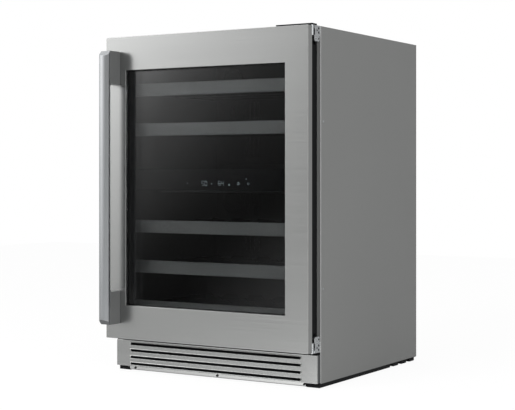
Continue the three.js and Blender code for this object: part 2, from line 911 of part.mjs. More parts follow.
function dripTray() {
  const wall = trayWall;
  const x0 = condenserX0 + finThickness + trayWall;
  const x1 = condenserX1 - finThickness - trayWall;
  const y0 = condenserY0 + trayWall;
  const y1 = condenserY1 - trayWall;
  const z0 = machineFloor;
  return cut(
    box(x0, x1, y0, y1, z0, z0 + trayHeight),
    box(x0 + wall, x1 - wall, y0 + wall, y1 - wall, z0 + wall, z0 + trayHeight + 1),
  );
}

const shroudPlate = 3;
const shroudMargin = 5;
const fanTipGap = 4;
const fanMotorLength = 26;
const armWidth = 6;

// Fan plate with a round opening and three arms that carry the motor.
function fanShroud() {
  const back = shroudX + shroudPlate;
  const axis = [fanAxisY, fanAxisZ];
  const openingRadius = fanRadius + fanTipGap;
  const outerHalf = openingRadius + shroudMargin;
  const y0 = Math.max(fanAxisY - outerHalf, machineFront + gap);
  const plate = box(shroudX, back, y0, fanAxisY + outerHalf, machineFloor, fanAxisZ + outerHalf);
  const frame = cut(plate, cylinder("x", openingRadius, axis, shroudX - 1, back + 1, 40));
  const arms = [];
  for (let i = 0; i < 3; i++) {
    const arm = box(0, shroudPlate, -armWidth / 2, armWidth / 2, motorRadius / 2, openingRadius + 1);
    arm.rotateX((i * Math.PI * 2) / 3);
    arms.push(arm.translate(shroudX, fanAxisY, fanAxisZ));
  }
  const motor = cylinder("x", motorRadius, axis, shroudX, shroudX + fanMotorLength, 20);
  const spindle = cylinder("x", spindleRadius, axis, shroudX - spindleLength, shroudX + 1, 12);
  return join(frame, arms, motor, spindle);
}

piece(cabinet, "compressor", compressor(), blackSteel, [
  half - compressorInset,
  machineFront + machineDepth / 2,
  machineFloor,
]);
piece(cabinet, "condenser_coil", condenser(), aluminium);
piece(cabinet, "drip_tray", dripTray(), blackPlastic);
piece(cabinet, "condenser_fan_shroud", fanShroud(), blackSteel);
const condenserFan = groupAt(cabinet, shroudX - runningGap, fanAxisY, fanAxisZ);
condenserFan.rotation.y = -Math.PI / 2;
piece(condenserFan, "condenser_fan_rotor", fanRotor(fanRadius, rotorBore), blackPlastic);

// ---------------------------------------------------------------- door

const leaf = groupAt(groupAt(cooler, hingeX, hingeY, doorBottom), -hingeX, doorFront - hingeY, 0);
const doorOutline = { x0: -half, x1: half, z0: 0, z1: doorHeight };
const windowOutline = {
  x0: -half + windowSide,
  x1: half - windowSide,
  z0: windowRail,
  z1: doorHeight - windowRail,
};
const glassOutline = inset(windowOutline, -glassOverlap);
const glassFront = windowReturn + gap;
const glassBack = glassFront + 2 * glassThickness + glassSpacing;
const hingeLocalY = hingeY - doorFront;

// Folded stainless frame: front face, outer and window returns, with a small chamfer at each front edge.
function doorShell() {
  const c = shellChamfer;
  const edge = taperedBlock(inset(doorOutline, c), doorOutline, 0, c);
  const face = box(-half, half, c, shellSheet, 0, doorHeight);
  const sides = frameRing(doorOutline, inset(doorOutline, shellSheet), shellSheet / 2, shellDepth);
  const reveal = frameRing(inset(windowOutline, -shellSheet), windowOutline, shellSheet / 2, windowReturn);
  const w = windowOutline;
  const through = box(w.x0, w.x1, -1, shellDepth, w.z0, w.z1);
  const flare = taperedBlock(inset(windowOutline, -c - 0.5), inset(windowOutline, 0.5), -0.5, c + 0.5);
  const front = cut(join(edge, face), through, flare);
  return join(front, sides, reveal);
}

// Moulded core that fills the shell, holds the glass and carries the gasket. It is notched at both hinges.
function doorCore() {
  const front = shellSheet + gap;
  const wide = inset(doorOutline, shellSheet + gap);
  const narrow = inset(doorOutline, coreInset);
  const back = shellDepth + coreDepth;
  const glassPocket = inset(glassOutline, -gap);
  const lipOpening = inset(glassOutline, coreLip);
  const core = join(
    frameRing(wide, glassPocket, front, shellDepth),
    cut(
      box(narrow.x0, narrow.x1, shellDepth - 1, back, narrow.z0, narrow.z1),
      box(glassPocket.x0, glassPocket.x1, 0, glassBack + gap, glassPocket.z0, glassPocket.z1),
      box(lipOpening.x0, lipOpening.x1, 0, back + 1, lipOpening.z0, lipOpening.z1),
    ),
  );
  const clear = hingeClearance;
  const notches = [];
  for (const up of [true, false]) {
    const z = (a, b) => (up ? [doorHeight - b, doorHeight - a] : [a, b]);
    const leafTop = hingeLocalY - leafThickness + barrelRadius / 4;
    const leafZ = z(-1, hingeHeight - armHeight + clear);
    notches.push(
      box(hingeX - leafLength - clear, half, leafTop - clear, back + 1, ...leafZ),
      box(hingeX - barrelRadius - clear, half, hingeLocalY, back + 1, ...z(-1, hingeHeight + clear)),
      cylinder("z", barrelRadius + clear, [hingeX, hingeLocalY], ...z(-1, hingeHeight + clear)),
    );
  }
  return cut(core, notches);
}

function glassPane(y0) {
  return box(glassOutline.x0, glassOutline.x1, y0, y0 + glassThickness, glassOutline.z0, glassOutline.z1);
}

function glassSpacerRing() {
  const y0 = glassFront + glassThickness + gap;
  return frameRing(glassOutline, inset(glassOutline, spacerWidth), y0, y0 + glassSpacing - 2 * gap);
}

// Magnetic gasket: a foot pressed on the core, a thin bellows and the magnet bulb.
function doorGasket() {
  const y0 = shellDepth + coreDepth + gap;
  const y1 = doorStack - gap;
  const foot = inset(doorOutline, coreInset + gasketInset);
  const ring = (margin, from, to) =>
    frameRing(inset(foot, margin), inset(foot, gasketWidth - margin), from, to);
  const bellows = gasketDepth / 4;
  return join(
    ring(0, y0, y0 + bellows),
    ring(4, y0 + bellows / 2, y1 - bellows),
    ring(1, y0 + bellows * 1.5, y1),
  );
}

piece(leaf, "door_frame", doorShell(), brushedSteel);
piece(leaf, "door_inner_frame", doorCore(), blackPlastic);
piece(leaf, "outer_glass", glassPane(glassFront), tintedGlass);
piece(leaf, "inner_glass", glassPane(glassBack - glassThickness), tintedGlass);
piece(leaf, "glass_spacer", glassSpacerRing(), spacerMetal);
piece(leaf, "door_gasket", doorGasket(), rubber);

// ---------------------------------------------------------------- handle

// The handle's own frame: x = 0 on its middle, y = 0 at its front, z = 0 at its lower end.
const handle = groupAt(
  leaf,
  -half + handleInset + handleWidth / 2,
  -handleReach,
  doorHeight - handleTopGap - handleLength,
);

function handleBar() {
  const w = handleWidth / 2;
  const section = new THREE.Shape();
  section.moveTo(-w, barThickness);
  section.lineTo(-w, barCrown);
  section.quadraticCurveTo(0, -barCrown, w, barCrown);
  section.lineTo(w, barThickness);
  section.closePath();
  const bar = prism("z", section, 0, handleLength, 16);
  // Each end slopes back from the front face, and the two ends mirror each other.
  const slope = outline([
    [-1, barChamfer + 1],
    [barThickness + 1, -1],
    [barThickness + 1, -barChamfer],
    [-1, -barChamfer],
  ]);
  const bottom = prism("x", slope, -w - 1, w + 1);
  const top = bottom.clone().rotateY(Math.PI).translate(0, 0, handleLength);
  return cut(bar, top, bottom);
}

// Solid post between the bar and the door, outer end at z = 0, with a fillet where the bar leaves it.
function handlePost() {
  const front = barThickness + gap;
  const back = handleReach - gap;
  const r = postCorner;
  const shape = new THREE.Shape();
  shape.moveTo(front, 0);
  shape.lineTo(back - r, 0);
  shape.absarc(back - r, r, r, -Math.PI / 2, 0, false);
  shape.lineTo(back, postLength - r);
  shape.absarc(back - r, postLength - r, r, 0, Math.PI / 2, false);
  shape.lineTo(front + 1.5 * r, postLength);
  shape.absarc(front + 1.5 * r, postLength + r, r, -Math.PI / 2, -Math.PI, true);
  shape.lineTo(front, postLength + r);
  shape.closePath();
  return prism("x", shape, -handleWidth / 2, handleWidth / 2, 6);
}

piece(handle, "handle_bar", handleBar(), handleSteel);
piece(handle, "handle_post_lower", handlePost(), handleSteel);
const upperPost = piece(handle, "handle_post_upper", handlePost(), handleSteel, [0, 0, handleLength]);
upperPost.geometry.scale(-1, 1, -1);

// ---------------------------------------------------------------- hinges

// Both hinges in the frame of their own axis: z = 0 at the door's outer end, growing towards its middle.
// up is true for the hinge at the top of the door.
function along(up, from, to) {
  return up ? [-to, -from] : [from, to];
}

function hingeBracket(up) {
  const outside = hingeInset - gap;
  const back = hingeSetback - gap;
  const front = barrelRadius + 0.4;
  const armZ = along(up, hingeHeight - armHeight, hingeHeight);
  const parts = [
    box(outside - bracketThickness, outside, front, back, ...along(up, 0, hingeHeight)),
    box(outside - bracketThickness, outside, 0, back, ...armZ),
    cylinder("z", barrelRadius, [0, 0], ...armZ),
    cylinder("z", pinRadius, [0, 0], ...along(up, pinMargin, hingeHeight - 1), 16),
  ];
  const screws = [hingeHeight / 5, hingeHeight / 2].map((z) => {
    const [low, high] = along(up, z - screwRadius, z + screwRadius);
    return cylinder("x", screwRadius, [(front + back) / 2, (low + high) / 2], outside - 1, outside + 1, 10);
  });
  return cut(join(parts), screws);
}

function hingeLeaf(up) {
  const leafZ = along(up, coreInset + gap, hingeHeight - armHeight - gap);
  const y1 = barrelRadius / 4;
  const barrel = cylinder("z", barrelRadius, [0, 0], ...along(up, gap, hingeHeight - armHeight - gap));
  const blade = box(-leafLength, 0, y1 - leafThickness, y1, ...leafZ);
  const bore = cylinder("z", pinRadius + gap, [0, 0], ...along(up, pinMargin - gap, hingeHeight), 16);
  return cut(join(barrel, blade), bore);
}

const topHinge = [hingeX, hingeY, doorTop];
const bottomHinge = [hingeX, hingeY, doorBottom];
piece(cabinet, "hinge_bracket_upper", hingeBracket(true), zinc, topHinge);
piece(cabinet, "hinge_bracket_lower", hingeBracket(false), zinc, bottomHinge);
const inLeaf = ([x, y, z]) => [x, y - doorFront, z - doorBottom];
piece(leaf, "hinge_leaf_upper", hingeLeaf(true), zinc, inLeaf(topHinge));
piece(leaf, "hinge_leaf_lower", hingeLeaf(false), zinc, inLeaf(bottomHinge));

// Black plate screwed on the cabinet's top, reaching forward over the top hinge.
const topPlateThickness = 3.5;
const topPlateLength = 99;
const topPlateDepth = 66;
const topPlateReach = 42;
const topPlateCorner = 12;

function topHingePlate() {
  const right = half - gap;
  const left = right - topPlateLength;
  const nose = cabinetFront - topPlateReach;
  const shape = outline([
    [left, cabinetFront + topPlateDepth - topPlateCorner],
    [left, nose],
    [right, nose],
    [right, cabinetFront + topPlateDepth],
    [left + topPlateCorner, cabinetFront + topPlateDepth],
  ]);
  return prism("z", shape, cabinetTop + gap, cabinetTop + gap + topPlateThickness);
}

piece(cabinet, "top_hinge_plate", topHingePlate(), blackSteel);

// ---------------------------------------------------------------- racks and runners

// A rack's own frame: x = 0 on its middle, y = 0 at its front face, z = 0 at its top edge.
const railOuter = rackWidth / 2 - gap;
const railInner = railOuter - railThickness;
const tongueOuter = railOuter + tongueDepth;
const tongueTop = -railDrop - (railHeight - tongueHeight) / 2;
const tongueBottom = tongueTop - tongueHeight;

function rackTrim() {
  const t = rackSheet;
  const h = rackFrontHeight;
  const shape = outline([
    [0, -h],
    [rackLip, -h],
    [rackLip, -h + t],
    [t, -h + t],
    [t, -t],
    [rackLip, -t],
    [rackLip, 0],
    [0, 0],
  ]);
  return prism("x", shape, -rackWidth / 2, rackWidth / 2);
}

// Cross strip with a row of round cradles for the bottles, drawn in (z, x).
function cradleStrip(y, bottom) {
  const pitch = (2 * railInner) / bottleCount;
  const crest = -railDrop + cradleRise;
  const centreZ = crest - cradleDepth + bottleRadius;
  const reach = Math.acos((bottleRadius - cradleDepth) / bottleRadius);
  const shape = new THREE.Shape();
  shape.moveTo(bottom, -railInner - 1);
  shape.lineTo(crest, -railInner - 1);
  for (let i = 0; i < bottleCount; i++) {
    const x = -railInner + (i + 0.5) * pitch;
    shape.absarc(centreZ, x, bottleRadius, Math.PI + reach, Math.PI - reach, true);
  }
  shape.lineTo(crest, railInner + 1);
  shape.lineTo(bottom, railInner + 1);
  shape.closePath();
  return prism("y", shape, y, y + cradleThickness, cradleFacets / 2);
}

function rackFrame(depth, skidBottom) {
  const low = -railDrop - railHeight;
  const t = rackSheet + gap;
  const solids = [];
  for (const side of [-1, 1]) {
    const span = (a, b) => [Math.min(side * a, side * b), Math.max(side * a, side * b)];
    solids.push(box(...span(railInner, railOuter), t, depth, low, -railDrop));
    if (skidBottom === undefined) {
      solids.push(box(...span(railOuter - 1, tongueOuter), rackLip + 2, depth, tongueBottom, tongueTop));
    } else {
      solids.push(box(...span(railInner, railOuter), rackLip + 2, depth, skidBottom, low + 1));
    }
  }
  solids.push(box(-railInner - 1, railInner + 1, t, t + crossThickness, low, -railDrop));
  const pitch = (depth - t - crossThickness) / cradleCount;
  for (let i = 0; i < cradleCount; i++) solids.push(cradleStrip(depth - cradleThickness - i * pitch, low));
  return join(solids);
}

// C-section runner on the liner wall, open towards the rack's tongue.
function fixedRunner(side, length) {
  const wallFace = cavityHalf - gap;
  const lipInner = railOuter + gap;
  const web = Math.max(wallFace - runnerWeb, tongueOuter + gap);
  const top = tongueTop + runningGap;
  const bottom = tongueBottom - runningGap;
  const shape = outline(
    [
      [bottom - runnerLip, lipInner],
      [bottom - runnerLip, wallFace],
      [top + runnerLip, wallFace],
      [top + runnerLip, lipInner],
      [top, lipInner],
      [top, web],
      [bottom, web],
      [bottom, lipInner],
    ].map(([z, x]) => [z, side * x]),
  );
  return prism("y", shape, rackLip + 4, length);
}

function runnerPair(name, top, depth) {
  for (const [hand, side] of [["left", -1], ["right", 1]]) {
    piece(cabinet, `${name}_runner_${hand}`, fixedRunner(side, depth), zinc, [0, rackFront, top]);
  }
}

function rack(name, top, depth, skidBottom) {
  const carrier = groupAt(cooler, 0, rackFront, top);
  piece(carrier, `${name}_front`, rackTrim(), brushedSteel);
  piece(carrier, `${name}_frame`, rackFrame(depth, skidBottom), blackSteel);
}

// Racks that come down beside the step are as short as the one on the cavity's floor.
const floorRackZ = cavityFloor + floorRackTop;
const lowerRackZ = dividerBottom - lowerRackDrop;
const slidingTops = [
  cavityTop - upperRackDrop,
  cavityTop - upperRackDrop - rackPitch,
  lowerRackZ,
  (lowerRackZ + floorRackZ) / 2,
];
slidingTops.forEach((top, i) => {
  const clearsStep = top - railDrop - railHeight > stepTop + gap;
  const depth = clearsStep ? rackDepth : shortRackDepth;
  rack(`rack_${i + 1}`, top, depth);
  runnerPair(`rack_${i + 1}`, top, depth);
});
rack(`rack_${slidingTops.length + 1}`, floorRackZ, shortRackDepth, gap - floorRackTop);

export default cooler;
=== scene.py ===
"""Looks for an under-counter wine cooler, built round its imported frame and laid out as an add-on file."""

import math
from contextlib import contextmanager

import bpy
from bpy.props import FloatProperty, FloatVectorProperty, IntProperty, PointerProperty, StringProperty
from bpy.types import Operator, Panel, PropertyGroup
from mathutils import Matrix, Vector


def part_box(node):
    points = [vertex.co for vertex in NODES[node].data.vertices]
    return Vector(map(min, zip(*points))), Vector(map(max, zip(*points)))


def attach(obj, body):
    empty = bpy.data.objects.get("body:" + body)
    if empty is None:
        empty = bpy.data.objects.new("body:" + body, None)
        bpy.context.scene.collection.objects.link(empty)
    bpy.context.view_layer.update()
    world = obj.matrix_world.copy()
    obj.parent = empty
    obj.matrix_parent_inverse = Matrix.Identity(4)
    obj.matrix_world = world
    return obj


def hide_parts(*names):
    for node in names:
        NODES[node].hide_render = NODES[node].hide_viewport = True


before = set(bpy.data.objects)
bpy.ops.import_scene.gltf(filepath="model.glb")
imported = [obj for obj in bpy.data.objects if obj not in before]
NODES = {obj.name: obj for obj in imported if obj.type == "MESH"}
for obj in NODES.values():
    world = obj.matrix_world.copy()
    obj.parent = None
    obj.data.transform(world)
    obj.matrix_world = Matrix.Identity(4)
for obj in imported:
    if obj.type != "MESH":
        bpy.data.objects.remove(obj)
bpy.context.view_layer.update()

bl_info = {
    "name": "Wine Cooler",
    "version": (1, 0, 0),
    "blender": (4, 5, 0),
    "location": "View3D > Sidebar > Wine Cooler",
    "description": "Finishes, fittings and studio for an under-counter wine cooler",
    "category": "Object",
}

MM = 0.001


# ---------------------------------------------------------------- settings


def colour(name, description, hex_value):
    """A colour setting, given as an sRGB hex value."""
    return StringProperty(name=name, description=description, default=hex_value)


def amount(name, description, default, **options):
    """A number setting that is never below zero."""
    return FloatProperty(name=name, description=description, default=default, min=0.0, **options)


def length(name, description, default_mm):
    """A length setting in metres, given in millimetres."""
    return amount(name, description, default_mm * MM, precision=4, subtype="DISTANCE", unit="LENGTH")


class WineCoolerFinishes(PropertyGroup):
    """Colours of the cooler's materials"""

    brushed: colour("Brushed steel", "Door skin and kick plate", "#A6A7A6")
    satin: colour("Rack steel", "Rack fronts and handle posts", "#808181")
    handle: colour("Handle steel", "Handle bar and posts", "#999B9D")
    painted: colour("Cabinet paint", "Outer wrap and back panel", "#7B7C7B")
    zinc: colour("Zinc plating", "Hinges and runners", "#C4C7C9")
    black_steel: colour("Black coating", "Base, racks and hinge plate", "#131415")
    black_plastic: colour("Black plastic", "Door core, filter caps and fans", "#101112")
    # Its dark grey is partly painted shade: on the kick plate's end caps it stands for the shade on the side
    # returns.
    grey_plastic: colour("Grey plastic", "End caps of the kick plate", "#4A4C4D")
    liner: colour("Liner", "Cavity liner, divider and duct covers", "#161718")
    fascia: colour("Fascia", "Control fascia", "#0B0C0D")
    rubber: colour("Gasket", "Door gasket", "#0D0D0E")
    glass: colour("Glass tint", "Both panes of the glass unit", "#D8D9D9")
    display: colour("Display", "Lit digits and icons", "#B9C6CE")
    light_cover: colour("Light cover", "Smoked covers of the light strips", "#3A3C3E")
    aluminium: colour("Fins", "Evaporators and condenser", "#A9ADB0")
    foam: colour("Foam", "Insulation, where it can be seen", "#C9B98C")


class WineCoolerFittings(PropertyGroup):
    """Sizes of what is modelled here"""

    shell_edge: length("Shell edge", "Rounding of the outer shell's front corners", 1.6)
    skin_sheet: length("Door sheet", "Thickness of the door's steel", 1.5)
    skin_edge: length("Door edge", "Rounding of the door's folded edges", 1.2)
    window_return: length("Window return", "Depth of the fold round the window", 8.0)
    # The black seal round the glass is partly painted shade: its width is set so that its black stands for
    # the shade under the window's steel return.
    seal_and_shade_width: length("Glazing seal", "Width of the black seal round the glass", 1.6)
    glass_overlap: length("Glass overlap", "How far the glass reaches behind the steel", 16.0)
    kick_sheet: length("Kick sheet", "Thickness of the kick plate", 1.2)
    toe_lip: length("Toe lip", "Height of the kick plate's set-back lip", 9.0)
    slot_height: length("Air slot", "Height of an air slot", 5.8)
    handle_edge: length("Handle edge", "Rounding of the handle's edges", 0.5)
    handle_slope: length("Handle end slope", "Height of the slope at each end of the bar", 12.5)
    handle_crown: length("Handle crown", "How far the bar's front is crowned", 3.0)
    rack_sheet: length("Rack sheet", "Thickness of the rack fronts", 1.5)
    rack_edge: length("Rack edge", "Rounding of the rack fronts' folds", 1.6)
    digit_height: length("Digit height", "Height of the display's digits", 11.0)
    cap_rings: IntProperty(name="Cap rings", description="Rings on a filter cap", default=3, min=1, max=5)


class WineCoolerStudio(PropertyGroup):
    """Light, floor and camera"""

    lamp_power: amount("Key lamp", "Power of the key lamp in watts", 75.0)
    fill_power: amount("Fill lamp", "Power of the fill lamp in watts", 40.0)
    lamp_side: length("Lamp side", "Side of each square lamp", 1600.0)
    ambient: amount("Ambient", "Even light of the room", 0.55)
    floor_size: length("Floor", "Side of the square floor", 9000.0)
    lens: amount("Lens", "Focal length in mm", 90.46, subtype="DISTANCE_CAMERA")
    camera_place: FloatVectorProperty(
        name="Camera", description="Place of the camera", default=(1.7731, -2.9234, 0.5163),
        subtype="XYZ", unit="LENGTH",
    )
    camera_turn: amount("Camera turn", "Turn of the camera about Z", math.radians(31.39), subtype="ANGLE")
    camera_shift: FloatProperty(name="Camera shift", description="Upward shift of the lens", default=-0.0639)


def settings(kind):
    """The scene's finishes, fittings or studio settings."""
    return getattr(bpy.context.scene, "wine_cooler_" + kind)


# ---------------------------------------------------------------- materials


def linear(hex_value):
    """An sRGB hex value as a linear RGBA colour."""
    parts = [int(hex_value[i : i + 2], 16) / 255 for i in (1, 3, 5)]
    return [c / 12.92 if c <= 0.04045 else ((c + 0.055) / 1.055) ** 2.4 for c in parts] + [1.0]


def shade(rgba, factor):
    """A colour made lighter or darker by a factor."""
    return [min(1.0, c * factor) for c in rgba[:3]] + [1.0]


def node(tree, kind, values=None, links=None, **options):
    """Adds a node. values and links set its inputs by name or number, and options its own settings."""
    added = tree.nodes.new(kind)
    for key, value in options.items():
        setattr(added, key, value)
    for key, value in (values or {}).items():
        added.inputs[key].default_value = value
    for key, socket in (links or {}).items():
        tree.links.new(socket, added.inputs[key])
    return added


def empty_material(name):
    """A new material without nodes, and its node tree."""
    material = bpy.data.materials.new(name)
    material.use_nodes = True
    material.node_tree.nodes.clear()
    return material, material.node_tree


def surface(name, setting, grain, rough, relief=0.1, depth=0.1, clouds=120.0, contrast=0.05, looks=None):
    """A solid finish in the colour of a setting. grain is the size of its grain in mm, all round or along X,
    Y and Z, and rough its least and most roughness. relief is how strongly the grain stands out and depth its
    height in mm. clouds is the size in mm of its slow unevenness, contrast how far its colour drifts, and
    looks holds what is the same all over."""
    material, tree = empty_material(name)
    base = linear(getattr(settings("finishes"), setting))
    sizes = grain if isinstance(grain, tuple) else (grain, grain, grain)
    looks = looks or {}
    place = node(tree, "ShaderNodeTexCoord").outputs["Object"]
    sized = node(tree, "ShaderNodeMapping", {"Scale": [1 / (size * MM) for size in sizes]}, {"Vector": place})
    fine = {"Scale": 1.0, "Detail": 3.0, "Roughness": 0.6}
    grains = node(tree, "ShaderNodeTexNoise", fine, {"Vector": sized.outputs["Vector"]}).outputs["Fac"]
    drift = node(tree, "ShaderNodeTexNoise", {"Scale": 1 / (clouds * MM), "Detail": 2.0}, {"Vector": place})
    patterns = {"A": grains, "B": drift.outputs["Fac"]}
    both = node(tree, "ShaderNodeMix", {"Factor": 0.5}, patterns, data_type="FLOAT")
    tones = node(tree, "ShaderNodeValToRGB", links={"Fac": both.outputs["Result"]})
    for stop, position, factor in zip(tones.color_ramp.elements, (0.35, 0.65), (1 - contrast, 1 + contrast)):
        stop.position = position
        stop.color = shade(base, factor)
    spread = {"From Min": 0.3, "From Max": 0.7, "To Min": rough[0], "To Max": rough[1]}
    dullness = node(tree, "ShaderNodeMapRange", spread, {"Value": grains})
    bumps = node(tree, "ShaderNodeBump", {"Strength": relief, "Distance": depth * MM}, {"Height": grains})
    links = {
        "Base Color": tones.outputs["Color"],
        "Roughness": dullness.outputs["Result"],
        "Normal": bumps.outputs["Normal"],
    }
    if "Emission Strength" in looks:
        links["Emission Color"] = tones.outputs["Color"]
    shader = node(tree, "ShaderNodeBsdfPrincipled", looks, links)
    node(tree, "ShaderNodeOutputMaterial", links={"Surface": shader.outputs["BSDF"]})
    return material


# The solid finishes. Each note says how the surface was made and what that gives the eye. A finish takes the
# colour of the setting with its own name, unless it names another.
FINISHES = {
    # AISI 304 sheet, brushed along X with a fine belt: faint long streaks that spread light across them,
    # drawn coarse at 1.5 mm so that they show.
    "brushed": dict(
        name="brushed 304 stainless steel", grain=(250.0, 3.0, 1.5), rough=(0.21, 0.25), relief=0.006,
        depth=0.2, clouds=400.0, contrast=0.02,
        looks={"Metallic": 1.0, "Anisotropic": 0.15, "Anisotropic Rotation": 0.25},
    ),
    # Stainless trim, bead blasted, with its pits drawn coarse at 0.6 mm so that they show: half of its light
    # scatters as it does from paint, so it only shows broad light and shade.
    "satin": dict(
        name="bead blasted stainless steel", grain=0.6, rough=(0.36, 0.42), relief=0.06, clouds=200.0,
        looks={"Metallic": 0.5},
    ),
    # Stainless bar, belt polished along its length, with its streaks drawn coarse at 1.4 mm: a crisp bright
    # line down its crown.
    "handle": dict(
        name="satin stainless bar", grain=(1.4, 2.0, 250.0), rough=(0.30, 0.35), relief=0.01,
        looks={"Metallic": 1.0, "Anisotropic": 0.4},
    ),
    # Powder coated sheet: a fine orange peel of 1.5 mm that softens its sheen.
    "painted": dict(
        name="grey powder coated steel", grain=1.5, rough=(0.38, 0.48), relief=0.12, depth=0.2,
        clouds=400.0, contrast=0.03, looks={"IOR": 1.5},
    ),
    # Bright zinc plated pressings: cloudy patches of 4 mm, a few darker than the rest.
    "zinc": dict(
        name="zinc plated steel", grain=4.0, rough=(0.20, 0.32), relief=0.03, depth=0.2, clouds=12.0,
        contrast=0.07, looks={"Metallic": 1.0},
    ),
    # E-coated sheet: fine and dull, so that it stays darker than any plastic beside it.
    "black_steel": dict(
        name="black e-coated steel", grain=0.8, rough=(0.45, 0.56), relief=0.15, depth=0.2, contrast=0.12,
        looks={"IOR": 1.5, "Specular IOR Level": 0.06},
    ),
    # Moulded ABS with a fine spark-eroded texture, drawn coarse at 1 mm so that it shows: dull and even.
    "black_plastic": dict(
        name="black moulded ABS", grain=1.0, rough=(0.55, 0.66), relief=0.15, depth=0.25, contrast=0.12,
        looks={"IOR": 1.53, "Specular IOR Level": 0.08},
    ),
    # Moulded ABS in dark grey with the same texture: dull, a little paler than the black. Its grey is partly
    # painted shade where it darkens the kick plate's end caps.
    "grey_plastic": dict(
        name="dark grey moulded ABS and painted shade", grain=1.0, rough=(0.50, 0.60), relief=0.12, depth=0.25, contrast=0.08,
        looks={"IOR": 1.53, "Specular IOR Level": 0.2},
    ),
    # High impact polystyrene, vacuum formed: soft sheen over a leather-like grain of 1.4 mm.
    "liner": dict(
        name="charcoal HIPS liner", grain=1.4, rough=(0.45, 0.56), relief=0.06, depth=0.3, clouds=160.0,
        contrast=0.06, looks={"IOR": 1.5},
    ),
    # Back-painted acrylic: a hard gloss with nothing but a trace of ripple.
    "fascia": dict(
        name="gloss black acrylic", grain=25.0, rough=(0.06, 0.14), relief=0.02, contrast=0.1,
        looks={"IOR": 1.49, "Specular IOR Level": 0.3},
    ),
    # Plasticised PVC: dull, with a faint bloom.
    "rubber": dict(
        name="black PVC gasket", grain=1.2, rough=(0.65, 0.76), relief=0.15, clouds=30.0, contrast=0.2,
        looks={"IOR": 1.5, "Specular IOR Level": 0.1},
    ),
    # Smoked polycarbonate over the lamps, which are off: even and soft.
    "light_cover": dict(
        name="smoked polycarbonate", grain=1.5, rough=(0.30, 0.40), relief=0.05, looks={"IOR": 1.58},
    ),
    # Rolled aluminium fins: a soft mill finish, with its grain drawn coarse at 2 mm.
    "aluminium": dict(
        name="mill finish aluminium", grain=2.0, rough=(0.35, 0.46), relief=0.1, contrast=0.08,
        looks={"Metallic": 1.0},
    ),
    # Skin of poured polyurethane: blisters of 4 mm on an uneven straw yellow.
    "foam": dict(
        name="poured polyurethane foam", grain=4.0, rough=(0.80, 0.90), relief=0.5, depth=1.0, clouds=60.0,
        contrast=0.12, looks={"IOR": 1.4},
    ),
    # A stroke of the display, a pale diffuser lit from behind: a little uneven, as an LED is.
    "display": dict(
        name="lit display segment", grain=3.0, rough=(0.45, 0.55), clouds=5.0, contrast=0.1,
        looks={"IOR": 1.5, "Emission Strength": 0.36},
    ),
    # An icon printed behind the fascia, with only a trace of light coming through.
    "icon": dict(
        name="printed icon", setting="display", grain=3.0, rough=(0.45, 0.55), clouds=5.0, contrast=0.1,
        looks={"IOR": 1.5, "Emission Strength": 0.14},
    ),
}


def tinted_glass():
    """Grey float glass, faintly uneven where it was wiped. Light falls through it on what is behind."""
    material, tree = empty_material("grey tinted float glass")
    tint = linear(settings("finishes").glass)
    place = node(tree, "ShaderNodeTexCoord").outputs["Object"]
    smear = node(tree, "ShaderNodeTexNoise", {"Scale": 9.0, "Detail": 2.0}, {"Vector": place})
    tones = node(tree, "ShaderNodeValToRGB", links={"Fac": smear.outputs["Fac"]})
    tones.color_ramp.elements[0].color = shade(tint, 0.97)
    tones.color_ramp.elements[1].color = shade(tint, 1.03)
    looks = {"Roughness": 0.0, "IOR": 1.5, "Transmission Weight": 1.0}
    glass = node(tree, "ShaderNodeBsdfPrincipled", looks, {"Base Color": tones.outputs["Color"]})
    clear = node(tree, "ShaderNodeBsdfTransparent", {"Color": shade(tint, 1.2)})
    path = node(tree, "ShaderNodeLightPath")
    both = {0: path.outputs["Is Shadow Ray"], 1: glass.outputs["BSDF"], 2: clear.outputs["BSDF"]}
    mixed = node(tree, "ShaderNodeMixShader", links=both)
    node(tree, "ShaderNodeOutputMaterial", links={"Surface": mixed.outputs["Shader"]})
    return material


made = {}


def finish(name):
    """The named material, made once."""
    if name not in made:
        made[name] = tinted_glass() if name == "glass" else surface(**{"setting": name, **FINISHES[name]})
    return made[name]


def dress(material_name, *names):
    """Gives CAD nodes a material."""
    for name in names:
        slots = NODES[name].data.materials
        slots.clear()
        slots.append(finish(material_name))


# ---------------------------------------------------------------- modelling steps

LEFT, RIGHT = Vector((-1, 0, 0)), Vector((1, 0, 0))
FRONT, BACK = Vector((0, -1, 0)), Vector((0, 1, 0))
DOWN = Vector((0, 0, -1))
NEAR = 0.1 * MM  # closer than this counts as the same place


def take(piece):
    """Makes one piece the only selected and the active one."""
    bpy.ops.object.select_all(action="DESELECT")
    piece.select_set(True)
    bpy.context.view_layer.objects.active = piece


def pick(piece, faces=None, edges=None):
    """Selects the faces that look in any of some directions, or the edges whose two ends pass a test."""
    mesh = piece.data
    for group in (mesh.vertices, mesh.edges, mesh.polygons):
        group.foreach_set("select", [False] * len(group))
    if faces:
        for face in mesh.polygons:
            face.select = any(face.normal.dot(direction) > 0.9 for direction in faces)
    if edges:
        for edge in mesh.edges:
            ends = [mesh.vertices[i].co for i in edge.vertices]
            edge.select = bool(edges(*ends))
    bpy.context.tool_settings.mesh_select_mode = (False, bool(edges), not edges)


@contextmanager
def shaping(piece, faces=None, edges=None):
    """Edit mode on a piece, with the faces or edges asked for selected, or else all of it."""
    take(piece)
    pick(piece, faces, edges)
    bpy.ops.object.mode_set(mode="EDIT")
    if not faces and not edges:
        bpy.ops.mesh.select_all(action="SELECT")
    yield
    bpy.ops.object.mode_set(mode="OBJECT")


def extrude(*move):
    """Extrudes the selected faces by a move along X, Y and Z."""
    bpy.ops.mesh.extrude_region_move(TRANSFORM_OT_translate={"value": move})


def modify(piece, kind, **options):
    """Adds a modifier, sets it and applies it."""
    take(piece)
    bpy.ops.object.modifier_add(type=kind)
    modifier = piece.modifiers[-1]
    for key, value in options.items():
        setattr(modifier, key, value)
    bpy.ops.object.modifier_apply(modifier=modifier.name)


